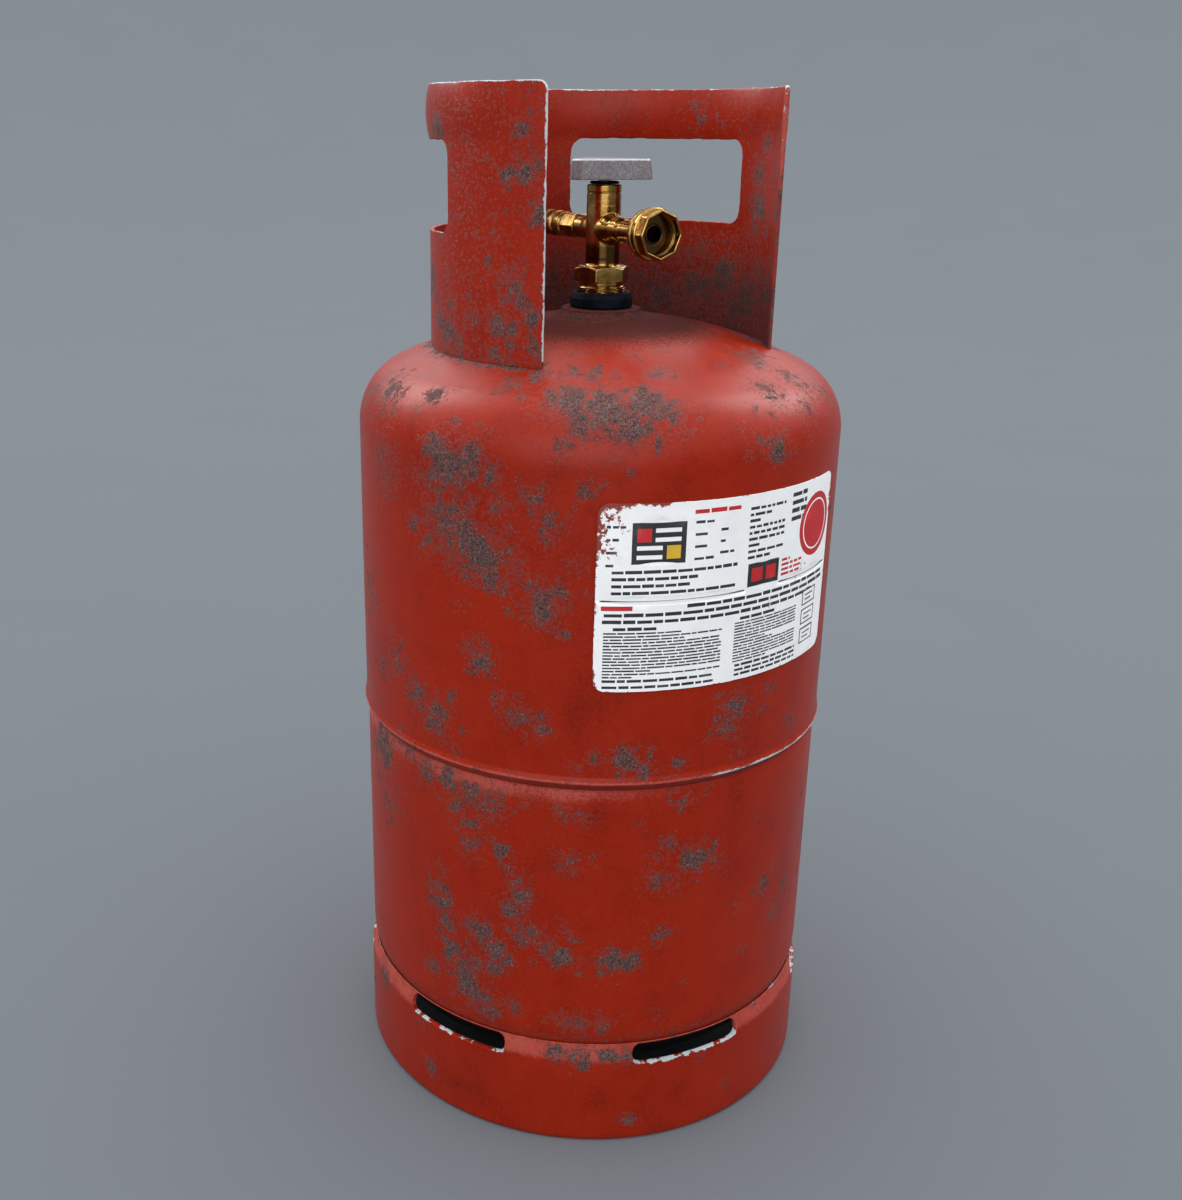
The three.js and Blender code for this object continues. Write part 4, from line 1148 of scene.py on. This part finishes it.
# ---- label ----
def build_label():
    low, high = box_mm("label")
    film_r, from_az, to_az = SHELL_R + 0.75, -32.0, 34.0
    arc = math.radians(1) * film_r
    left, width, height = from_az * arc, (to_az - from_az) * arc, high.z - low.z
    pick = random.Random(20)
    marks = []

    def area(u0, v0, u1, v1, group=1):
        """A plain block, in percent of the label's width and height from its top left."""
        x0, x1 = left + width * u0 / 100, left + width * u1 / 100
        y0, y1 = high.z - height * v1 / 100, high.z - height * v0 / 100
        marks.append(([(x0, y0), (x1, y0), (x1, y1), (x0, y1)], group))

    def disc(u, v, radius, group):
        x, y = left + width * u / 100, high.z - height * v / 100
        marks.append(([(x + radius * math.cos(a), y + radius * math.sin(a))
                       for a in np.arange(32) * TAU / 32], group))

    def row(u0, u1, v, tall, group=1, word=(1.2, 4.6), space=0.6, loose=0.0):
        """A row of word-like bars; loose is how often it stops short."""
        end = u1 - (u1 - u0) * (pick.uniform(0.3, 0.75) if pick.random() < loose else 0)
        u = u0
        while u < end - 0.8:
            wide = min(pick.uniform(*word), end - u)
            dip = pick.uniform(0, 0.18) * tall
            area(u, v - tall / 2 + dip, u + wide, v + tall / 2, group)
            u += wide + space

    def rows(u0, u1, v0, v1, count, tall, **options):
        for i in range(count):
            row(u0, u1, v0 + (v1 - v0) * i / max(1, count - 1), tall, **options)

    # a plain dark panel with coloured blocks, and the short rows round it
    area(11, 10, 28.5, 31.5)
    area(12.6, 13, 17.2, 20, 3)
    area(18.4, 13, 26.8, 15.2, 0)
    area(18.4, 17.8, 26.8, 20, 0)
    area(22.2, 22, 26.8, 29, 4)
    area(12.6, 22, 20.8, 24.2, 0)
    area(12.6, 26.8, 20.8, 29, 0)
    row(31, 48, 5.5, 2.4, word=(2.5, 6), group=3)
    rows(31.5, 39, 11, 30, 4, 1.5, loose=0.4)
    rows(3, 9, 12, 32, 4, 1.5, loose=0.5)
    rows(40.5, 47, 16, 28, 3, 1.5, loose=0.4)
    rows(5, 47.5, 35.5, 46.5, 4, 1.8, word=(2, 6), space=0.5, loose=0.3)
    # a list of short rows, a bolder block, a red disc with a white ring
    rows(51.5, 67.5, 7.5, 33.5, 9, 1.6, loose=0.45)
    rows(71, 79.5, 5, 18, 4, 2.5, word=(3.4, 6.5))
    disc(87.3, 25.5, 19.0, 3)
    disc(87.3, 25.5, 15.2, 0)
    disc(87.3, 25.5, 14.2, 3)
    # a dark block with two red blocks, small red rows beside it
    area(52, 37, 66, 49.5)
    area(53.6, 39.6, 58.4, 47, 3)
    area(60, 39.6, 64.6, 47, 3)
    rows(67.5, 79, 39, 47, 4, 1.5, group=3, loose=0.3)
    # divider and the bold rows under it
    area(1.5, 50.4, 51, 51.0)
    area(66.5, 50.4, 98.5, 51.0)
    area(2, 53.4, 12, 55.8, 3)
    row(30, 96, 54.6, 2.0, word=(3, 7))
    row(3, 97, 58.2, 2.0, word=(3, 7))
    row(2.5, 88, 61.8, 2.0, word=(3, 7))
    # two columns of fine rows
    row(6, 20, 65.6, 1.9, word=(3, 6))
    rows(3, 43, 68.0, 91.9, 15, 0.95, loose=0.15, word=(1.6, 6.5), space=0.4)
    rows(3, 41, 94, 97.4, 2, 1.6, word=(2, 5))
    row(50, 66, 65.6, 1.9, word=(3, 6))
    rows(48, 78, 68.0, 89.2, 14, 0.9, loose=0.12, word=(1.6, 6.5), space=0.4)
    rows(49, 79, 91.6, 96.8, 3, 1.5, word=(2, 5))
    # three plain outlined boxes
    for v in (66, 77, 88):
        area(82, v - 4.4, 92, v + 4.4)
        area(82.6, v - 3.6, 91.4, v + 3.6, 0)
        area(84, v - 1.6, 90, v - 0.8)
        area(84, v + 0.9, 88.5, v + 1.7)

    def place(s, v, depth):
        return polar(s / arc, film_r - depth, v)

    corners = [
        (left, low.z, 7), (left + width, low.z, 7), (left + width, high.z, 7), (left, high.z, 7),
    ]
    path = densify(rounded(corners, closed=True, steps=8), 1.5, closed=True)
    rims = [(ragged(path, True, 0.2, 7.7), True)]
    order = {0: 0, 1: 1, 3: 2, 4: 3}
    # a later mark lies over an earlier one
    stacked = [(points, i) for i, (points, _) in enumerate(marks, 1)]
    verts, faces, top, close = plate(rims, [0], [], place, 0.4, 0.12, 2.6, ink=stacked)
    groups = [order[marks[k - 1][1]] if k else 0 for k in top]
    spots = [
        (-31, 415, 16, 1.0), (-32, 395, 10, 0.8), (-20, 417, 9, 0.7), (-30, 360, 7, 0.6), (20, 365, 9, 0.7),
        (10, 345, 7, 0.6), (33, 400, 8, 0.7), (2, 330, 6, 0.5), (-22, 345, 7, 0.6), (28, 350, 9, 0.6),
        (-6, 372, 8, 0.5), (24, 320, 7, 0.5), (-32, 320, 7, 0.5),
    ]
    rust = density(verts, [(polar(a, film_r, z), size, k) for a, z, size, k in spots])
    build("label", (verts, faces), [FILM, INK, RED_INK, YELLOW_INK], groups=groups, rust=rust, edge=close)


# ---- service valve ----
def valve_dirt_and_shade(co):
    """Dirt and painted shade on the stem under the arms and inside the outlet."""
    stem_top = AXIS_Z - 6
    reach = np.hypot(co[:, 0], co[:, 1])
    under = np.clip((stem_top - co[:, 2]) / 5, 0, 1) * (co[:, 2] > AXIS_Z - 21) * (reach < 12)
    from_axis = np.hypot(co[:, 0], co[:, 2] - AXIS_Z)
    outlet = box_mm("outlet_socket")[1].y + 3
    mouth = (co[:, 1] < outlet) * np.clip((11.9 - from_axis) / 0.5, 0, 1)
    return np.maximum(0.75 * under, 0.7 * mouth)


def build_valve_body():
    low, high = box_mm("valve_body")
    thread_low = box_mm("neck_ring")[0].z
    thread_high = thread_low + 13.25
    hex_low, hex_high = thread_high + 1.8, thread_high + 11.2
    hexagon = regular(6, 15.0, math.radians(15))
    loops = along(low.z, (0, 0), (11.2, 0), (12.2, 0.3), (12.5, 1.0))
    loops += along(thread_low, (12.5, -0.2), (14.0, 0))
    loops += thread(14.8, 13.75, thread_low + 0.1, thread_high - 0.2, 1.5)
    loops += along(thread_high, (13.4, 0.05), (12.8, 0.3)) + [(12.8, hex_low - 0.15)]
    loops += chamfer(hexagon, hex_low, (14.4, 0), (15.5, 0.35), (16.4, 0.7), (17.4, 1.1))
    loops += [(hexagon, hex_low + (hex_high - hex_low - 2.0) * t + 0.6) for t in (0.3, 0.6, 0.9)]
    loops += chamfer(
        hexagon, hex_high,
        (17.2, -1.55), (16.7, -1.2), (16.2, -0.88), (15.7, -0.6), (15.2, -0.34), (14.7, -0.12), (14.2, 0),
    )
    loops += along(hex_high, (11.6, 0.02), (11.0, 0.25), (10.55, 0.8), (10.3, 2.0), (10.3, 8), (0, 8))
    base = lathe(loops, 288)

    stem = turned([(0, hex_high + 4), (10.4, hex_high + 4), (10.4, high.z, 0.6), (0, high.z)], 96)
    arm = turned([
        (0, 2), (9.6, 2), (9.0, 11, 4), (7.5, 15, 4), (7.3, 22, 2), (6.4, 24, 2), (6.3, 41, 4), (7.4, 48),
        (0, 48),
    ], 96)
    rear = turned([(0, 2), (9.2, 2), (8.4, 11, 4), (7.15, 15, 3), (7.0, 24), (0, 24)], 96)
    saddle = turned([(0, -7), (8.2, -7), (10.0, -3, 3), (10.0, 3, 3), (8.2, 7), (0, 7)], 64)
    crossed = (np.column_stack((saddle[0][:, 2], saddle[0][:, 0], saddle[0][:, 1] + AXIS_Z)), saddle[1])
    lump = forged([stem, to_front(arm), to_back(rear), crossed], 0.42, 7)
    flange = turned([
        (0, 44), (7.2, 44, 0.5), (7.9, 46.5, 0.5), (13.5, 46.5, 0.7), (14.3, 47.6, 0.5), (14.3, 49.2, 0.5),
        (13.6, 50.0, 0.3), (5.6, 50.0, 0.2), (5.6, 53.6, 0.4), (0, 53.6),
    ], 144)
    cap_end = to_back(turned([(0, 20), (7.1, 20, 0.3), (7.1, 24, 0.5), (0, 24)], 96))
    seat, chamber, neck = 536.5, 5.2, 7.4
    floor = 553.0
    cavity = turned([
        (0, low.z - 5), (3.0, low.z - 5), (3.0, seat), (chamber, seat), (chamber, floor), (neck, floor),
        (neck, high.z + 5), (0, high.z + 5),
    ], 64)
    gallery = turned([(0, low.z - 5), (1.4, low.z - 5), (1.4, AXIS_Z), (0, AXIS_Z)], 24)
    gallery = (gallery[0] + np.array([0, 7.6, 0]), gallery[1])
    outlet_bore = to_front(turned([(0, 0), (3.7, 0), (3.7, 43), (4.9, 46), (4.9, 54.5), (0, 54.5)], 64))
    relief_bore = to_back(turned([(0, 6.3), (2.5, 6.3), (2.5, 14), (4.6, 14), (4.6, 29), (0, 29)], 48))
    part = combined(lump, [base, to_front(flange), cap_end], [cavity, gallery, outlet_bore, relief_bore])
    build("valve_body", part, BRASS, angle=38, grime=valve_dirt_and_shade)


def build_outlet():
    low, high = box_mm("outlet_socket")
    face, back = -low.y, -high.y
    flange_end = back + 3.6
    octagon = lambda inradius: regular(8, inradius, 0.0, 120)
    loops = along(back, (5.95, 0), (14.0, 0), (14.7, 0.25), (15.0, 0.8))
    loops += along(flange_end, (15.0, -0.7), (14.8, -0.2), (14.3, 0.15))
    loops += [(capped(octagon(13.4), 14.2), flange_end + 0.25)]
    loops += [(octagon(13.4), z) for z in (flange_end + 0.7, flange_end + 2.5, face - 1.4)]
    loops += [(octagon(inradius), face - drop) for inradius, drop in (
        (13.3, 1.0), (13.1, 0.6), (12.9, 0.3), (12.7, 0.1), (12.45, 0.0), (12.2, 0.0), (11.95, 0.15),
        (11.75, 0.6), (11.6, 1.6))]
    loops += thread(11.3, 11.75, face - 2.6, back + 2.9, 1.45)
    loops += along(back, (11.5, 2.5), (11.3, 2.05), (10.6, 2.0), (6.3, 2.0), (5.95, 1.7))
    build("outlet_socket", to_front(lathe(loops, 288)), BRASS, angle=42, grime=valve_dirt_and_shade)
    low, high = box_mm("outlet_washer")
    washer = [(6, -high.y, 0.2), (12.6, -high.y, 0.3), (12.6, -low.y, 0.3), (6, -low.y, 0.2)]
    build("outlet_washer", to_front(turned(washer, 144, step=1.0)), RUBBER)


def build_bonnet():
    low, high = box_mm("bonnet")
    radius, spigot, bore = high.x, 7.05, 3.9
    step = low.z + 4.3
    points = [
        (bore, low.z, 0.2), (spigot, low.z, 0.4), (spigot, step, 0.2), (radius, step, 0.6),
        (radius, high.z - 5.2, 0.3), (radius - 0.35, high.z - 4.8, 0.3), (radius - 0.35, high.z - 4.3, 0.3),
        (radius, high.z - 3.9, 0.3), (radius, high.z, 0.7), (bore, high.z, 0.3),
    ]
    build("bonnet", turned(points, step=0.9), BRASS)
    low, high = box_mm("dust_seal")

    def wavy(z, amount):
        return lambda angles: z + amount * (np.sin(angles * 5) * 0.5 + np.sin(angles * 11 + 1) * 0.5 - 1)

    outline = rounded([
        (3.95, low.z, 0.2), (8.4, low.z, 0.3), (8.95, low.z + 0.7, 0.5), (8.2, high.z, 0.6),
        (3.95, high.z, 0.3),
    ], closed=True)
    loops = [(r, wavy(z, 0.18) if z > low.z + 1 else z) for r, z in densify(outline, 0.6, closed=True)]
    build("dust_seal", lathe(loops, 144), RUBBER)
    low, high = box_mm("neck_ring")
    inner = 15.15
    points = [
        (inner, low.z, 0.2), (18.5, low.z, 0.5), (19.1, low.z + 1.0, 0.5), (19.1, low.z + 5.6, 0.6),
        (17.7, high.z, 0.7), (inner, high.z, 0.4),
    ]
    part = turned(points, step=0.8)
    nibble = np.array([
        1 - 0.006 * max(0.0, noise.fractal(Vector((x * 0.35, y * 0.35, z * 0.5)), 1, 2, 4))
        for x, y, z in part[0]
    ])
    part[0][:, :2] *= np.where(np.hypot(part[0][:, 0], part[0][:, 1]) > 17, nibble, 1)[:, None]
    build("neck_ring", part, RUBBER)


# ---- handwheel ----
def build_handwheel():
    low, high = box_mm("handwheel")
    bottom, top = low.z, high.z
    turn, draft, wall, web = -10.0, 1.6, 3.0, 3.5
    long_side, short_side = 18.5, 28.5

    def outline(inset, soft=34):
        faces = []
        for i in range(3):
            facing = math.radians(turn + i * 120)
            faces += [(facing, long_side - inset), (facing + math.pi / 3, short_side - inset)]
        return soft_polygon(faces, soft)

    square = regular(4, 3.15, math.radians(45 - turn - 90), 40)
    flare = lambda z: draft * (z - bottom) / (top - bottom)
    loops = [(outline(flare(z) + extra), z) for z, extra in (
        (bottom + 0.05, 0.45), (bottom + 0.35, 0.1), (bottom + 0.8, 0.0), (bottom + 3, 0), (bottom + 6, 0),
        (top - 3, 0), (top - 1.2, 0.0), (top - 0.6, 0.15), (top - 0.2, 0.5), (top, 1.0))]
    loops += along(top, (outline(draft + 3.0), 0), (outline(draft + 4.0), -0.25), (outline(draft + 8), -0.3))
    loops += along(top, (7.6, -0.3), (7.25, -0.45), (7.0, -0.8), (7.0, -3.4), (6.7, -3.7), (3.9, -3.7))
    loops += [(square, top - 3.75), (square, top - 6), (square, bottom + 0.6)]
    loops += along(bottom, (4.4, 0.3), (7.1, 0.3), (7.5, 0.6), (7.5, 4))
    loops += along(top - web, (7.5, -0.9), (7.9, -0.3), (8.6, 0))
    loops += along(top - web, (outline(wall + draft + 4), 0), (outline(wall + draft + 1.2), 0))
    loops += along(top - web, (outline(wall + draft + 0.3), -0.5))
    loops += [(outline(wall + flare(z)), z) for z in (top - web - 1.2, bottom + 4, bottom + 0.6)]
    loops += [(outline(wall - 0.3), bottom + 0.1), (outline(wall - 0.7), bottom)]
    part = lathe(loops, 360)
    verts = part[0]
    rim = np.clip(1 - np.abs(verts[:, 2] - (top - 0.35)) / 1.3, 0, 1)
    inset = outline(draft)(np.radians(azimuth_of(verts))) - np.hypot(verts[:, 0], verts[:, 1])
    edge = rim * np.clip(1.4 - inset / 2, 0, 1) + 0.55 * np.clip(1 - np.abs(verts[:, 2] - bottom) / 0.6, 0, 1)
    build("handwheel", part, WHEEL, angle=38, edge=edge)

    low, high = box_mm("handwheel_washer")
    points = [(1.8, low.z, 0.1), (6, low.z, 0.2), (6, high.z, 0.25), (1.8, high.z, 0.1)]
    build("handwheel_washer", turned(points, 96, step=0.8), STEEL)
    low, high = box_mm("handwheel_screw")
    socket = regular(6, 1.35, 0.0, 60)
    seat = box_mm("handwheel_washer")[1].z + GAP
    loops = [(0, low.z), (0.8, low.z + 0.1)]
    loops += thread(1.15, 0.9, low.z + 0.3, seat - 0.3, 0.55)
    loops += along(seat, (1.15, 0), (3.5, 0), (3.8, 0.3))
    loops += along(high.z, (3.8, -1.2), (3.6, -0.5), (3.0, -0.05), (2.2, 0), (capped(socket, 1.5), -0.1))
    loops += along(high.z, (socket, -0.4), (socket, -1.5), (0, -1.7))
    build("handwheel_screw", lathe(loops, 96), STEEL)


# ---- relief valve ----
def coil(radius, wire, turns, start, end):
    """A round wire wound along +Z between two heights, with flat ends."""
    around, steps = 14, turns * 40
    section = np.arange(around) * TAU / around
    verts, faces = [], []
    for k in range(steps + 1):
        turn = TAU * turns * k / steps
        r = radius + wire * np.cos(section)
        middle = start + wire + (end - start - 2 * wire) * k / steps
        verts.extend(zip(r * math.cos(turn), r * math.sin(turn), middle + wire * np.sin(section)))
    for k in range(steps):
        for i in range(around):
            j = (i + 1) % around
            faces.append([k * around + i, k * around + j, (k + 1) * around + j, (k + 1) * around + i])
    faces.append(list(range(around)))
    faces.append(list(range(steps * around, (steps + 1) * around)))
    return np.array(verts), faces


def build_relief_valve():
    low, high = box_mm("relief_body")
    end = high.y
    hex_from, hex_to, ring_from, barrel_from = end - 54.3, end - 39, end - 36, end - 27
    hexagon = regular(6, 7.0, math.radians(30))
    loops = along(low.y, (1.6, 0), (4.0, 0), (4.25, 0.3))
    loops += along(hex_from, (4.25, -0.3), (6.3, -0.2), (6.4, 0))
    loops += chamfer(hexagon, hex_from, (6.9, 0.1), (7.3, 0.3), (7.7, 0.6), (8.2, 1.0))
    loops += [(hexagon, hex_from + t) for t in (1.5, 6, hex_to - hex_from - 1.5)]
    loops += chamfer(hexagon, hex_to, (8.0, -1.1), (7.7, -0.75), (7.35, -0.45), (7.0, -0.2), (6.8, -0.05))
    loops += along(hex_to, (6.4, 0), (6.05, 0.2), (5.9, 0.6))
    loops += along(ring_from, (5.9, -0.5), (6.6, -0.1), (7.2, 0.1), (7.4, 0.5))
    loops += along(ring_from, (7.4, 5.5), (7.2, 6.0), (6.75, 6.3), (6.6, 6.7))
    loops += along(barrel_from, (6.6, -0.6), (7.3, -0.3), (7.8, 0), (7.9, 0.5), (7.9, 3))
    for groove in (6, 9):
        loops += along(barrel_from + groove, (7.9, 0), (7.55, 0.25), (7.55, 0.8), (7.9, 1.05))
    loops += along(end, (7.9, -6), (7.9, -0.9), (7.75, -0.35), (7.3, -0.05), (6.8, 0), (5.5, 0))
    loops += along(end, (5.2, -0.3), (5.2, -10), (5.2, -30))
    loops += [(5.2, 30.2), (5.0, 30), (1.8, 30), (1.6, 29.8), (1.6, low.y + 5)]
    build("relief_body", to_back(lathe(loops, 192)), BRASS_DULL, angle=42)
    low, high = box_mm("relief_adjuster")
    points = [(2, low.y, 0.2), (4.85, low.y, 0.3), (4.85, high.y, 0.3), (2, high.y, 0.3)]
    build("relief_adjuster", to_back(turned(points, 96, step=0.8)), BRASS_DULL)
    low, high = box_mm("relief_cap")
    lip = high.y - 2.65
    points = [
        (0, low.y), (4.85, low.y, 0.4), (4.85, lip, 0.2), (8.0, lip, 0.4), (8.0, lip + 1.6, 0.6),
        (7.0, high.y, 0.7), (0, high.y),
    ]
    build("relief_cap", to_back(turned(points, 144, step=0.8)), CAP)
    low, high = box_mm("relief_spring")
    wire = 0.55
    spring = build("relief_spring", to_back(coil(high.x - wire, wire, 7, low.y, high.y)), STEEL)
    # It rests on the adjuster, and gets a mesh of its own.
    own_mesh(spring)


build_shells()
build_welds()
build_boss()
build_collar()
build_foot_ring()
build_label()
build_valve_body()
build_outlet()
build_bonnet()
build_handwheel()
build_relief_valve()

# The CAD nodes that stay are inside the valve; each gets its finish.
INSIDE = {
    "spindle": STEEL, "valve_plug": BRASS_DULL, "relief_poppet": BRASS_DULL,
    "spindle_oring_lower": RUBBER, "spindle_oring_upper": RUBBER, "seat_disc": RUBBER,
    "bonnet_washer": RUBBER, "relief_seal": RUBBER,
}
for node, material in INSIDE.items():
    shown = frame["nodes"][node]
    shown.data.materials.clear()
    shown.data.materials.append(material)

# ---------------------------------------------------------------- studio
FACING = -32.6  # the camera's azimuth
AIM = Vector((0, 0, 0.32))  # where the lights point, in metres


def build_stage():
    g = Graph("studio_grey")
    at = g.place()
    cloud = g.noise(at, 3, 4, 0.55)
    grain = g.noise(at, 260, 4, 0.6)
    colour = g.ramp(g.sum((cloud, 0.6), (grain, 0.4)),
                    [(0.3, (0.182, 0.202, 0.221)), (0.7, (0.190, 0.210, 0.229))])
    g.lift((grain, 0.05, 0.0004))
    material = g.done(Base_Color=colour, Roughness=g.step(grain, 0.3, 0.7, 0.82, 0.92))
    flat, bend = 3000.0, 8000.0
    sweep = [(flat + bend * math.sin(a), bend * (1 - math.cos(a)))
             for a in np.linspace(0, math.radians(45), 24)]
    inner = [(0, 0)] + [(flat * (i / 24) ** 2, 0) for i in range(1, 25)] + sweep[1:]
    outer = [(flat + bend + 60, sweep[-1][1]), (flat + bend + 60, -60), (0, -60)]
    verts, faces = lathe(inner + outer, 160)
    mesh = bpy.data.meshes.new("studio_sweep")
    mesh.from_pydata((verts * MM).tolist(), [], faces)
    mesh.materials.append(material)
    mesh.shade_smooth()
    mesh.set_sharp_from_angle(angle=math.radians(40))
    floor = bpy.data.objects.new("studio_sweep", mesh)
    bpy.context.scene.collection.objects.link(floor)


def softbox(name, azimuth, elevation, distance, width, height, power):
    """A rectangular light aimed at the tank's middle; the azimuth is counted from the camera's."""
    light = bpy.data.lights.new(name, "AREA")
    light.shape = "RECTANGLE"
    light.size, light.size_y = width, height
    light.energy = power
    lamp = bpy.data.objects.new(name, light)
    bpy.context.scene.collection.objects.link(lamp)
    a, e = math.radians(azimuth + FACING), math.radians(elevation)
    away = Vector((math.sin(a) * math.cos(e), -math.cos(a) * math.cos(e), math.sin(e)))
    lamp.location = AIM + away * distance
    lamp.rotation_euler = away.to_track_quat("Z", "Y").to_euler()
    lamp.visible_camera = False
    return lamp


def build_lights():
    """A bright room for everything, and softboxes that light the tank alone, so that the floor stays even."""
    lit = bpy.data.collections.new("tank")
    for shown in bpy.context.scene.objects:
        if shown.type == "MESH" and shown.name != "studio_sweep":
            lit.objects.link(shown)
    lamps = [
        softbox("key", -4, 20, 2.6, 2.8, 1.9, 30),
        softbox("sky", 180, 46, 2.4, 3.4, 2.0, 15),
        softbox("rim_left", -122, 40, 2.2, 0.9, 1.2, 25),
        softbox("rim_right", 122, 42, 2.2, 0.9, 1.2, 23),
    ]
    for lamp in lamps:
        lamp.light_linking.receiver_collection = lit
    world = bpy.data.worlds.new("studio_air")
    bpy.context.scene.world = world
    world.use_nodes = True
    sky = world.node_tree
    direction = sky.nodes.new("ShaderNodeTexCoord").outputs["Generated"]
    height = sky.nodes.new("ShaderNodeSeparateXYZ")
    rise = sky.nodes.new("ShaderNodeMapRange")
    sky.links.new(direction, height.inputs[0])
    sky.links.new(height.outputs["Z"], rise.inputs["Value"])
    for socket, value in (("From Min", 0.0), ("From Max", 0.8), ("To Min", 0.95), ("To Max", 1.4)):
        rise.inputs[socket].default_value = value
    sky.nodes["Background"].inputs["Color"].default_value = (0.95, 0.975, 1.0, 1)
    sky.links.new(rise.outputs["Result"], sky.nodes["Background"].inputs["Strength"])


def build_camera():
    distance, height = 0.8483, 0.6071
    pitch, yaw, roll = (math.radians(a) for a in (19.33, -4.413, 0.304))
    ahead = Vector((math.sin(yaw) * math.cos(pitch), math.cos(yaw) * math.cos(pitch), -math.sin(pitch)))
    right = Vector((math.cos(yaw), -math.sin(yaw), 0))
    up = right.cross(ahead)
    right, up = math.cos(roll) * right + math.sin(roll) * up, math.cos(roll) * up - math.sin(roll) * right
    pose = Matrix((right, up, -ahead)).transposed().to_4x4()
    pose.translation = (0, -distance, height)
    data = bpy.data.cameras.new("camera")
    data.lens = 40.55
    data.shift_x = 0.0814
    data.sensor_width = 36
    data.clip_start, data.clip_end = 0.05, 50
    camera = bpy.data.objects.new("camera", data)
    bpy.context.scene.collection.objects.link(camera)
    camera.matrix_world = Matrix.Rotation(math.radians(FACING), 4, "Z") @ pose
    bpy.context.scene.camera = camera


build_stage()
build_lights()
build_camera()
bpy.context.scene.view_settings.view_transform = "Standard"
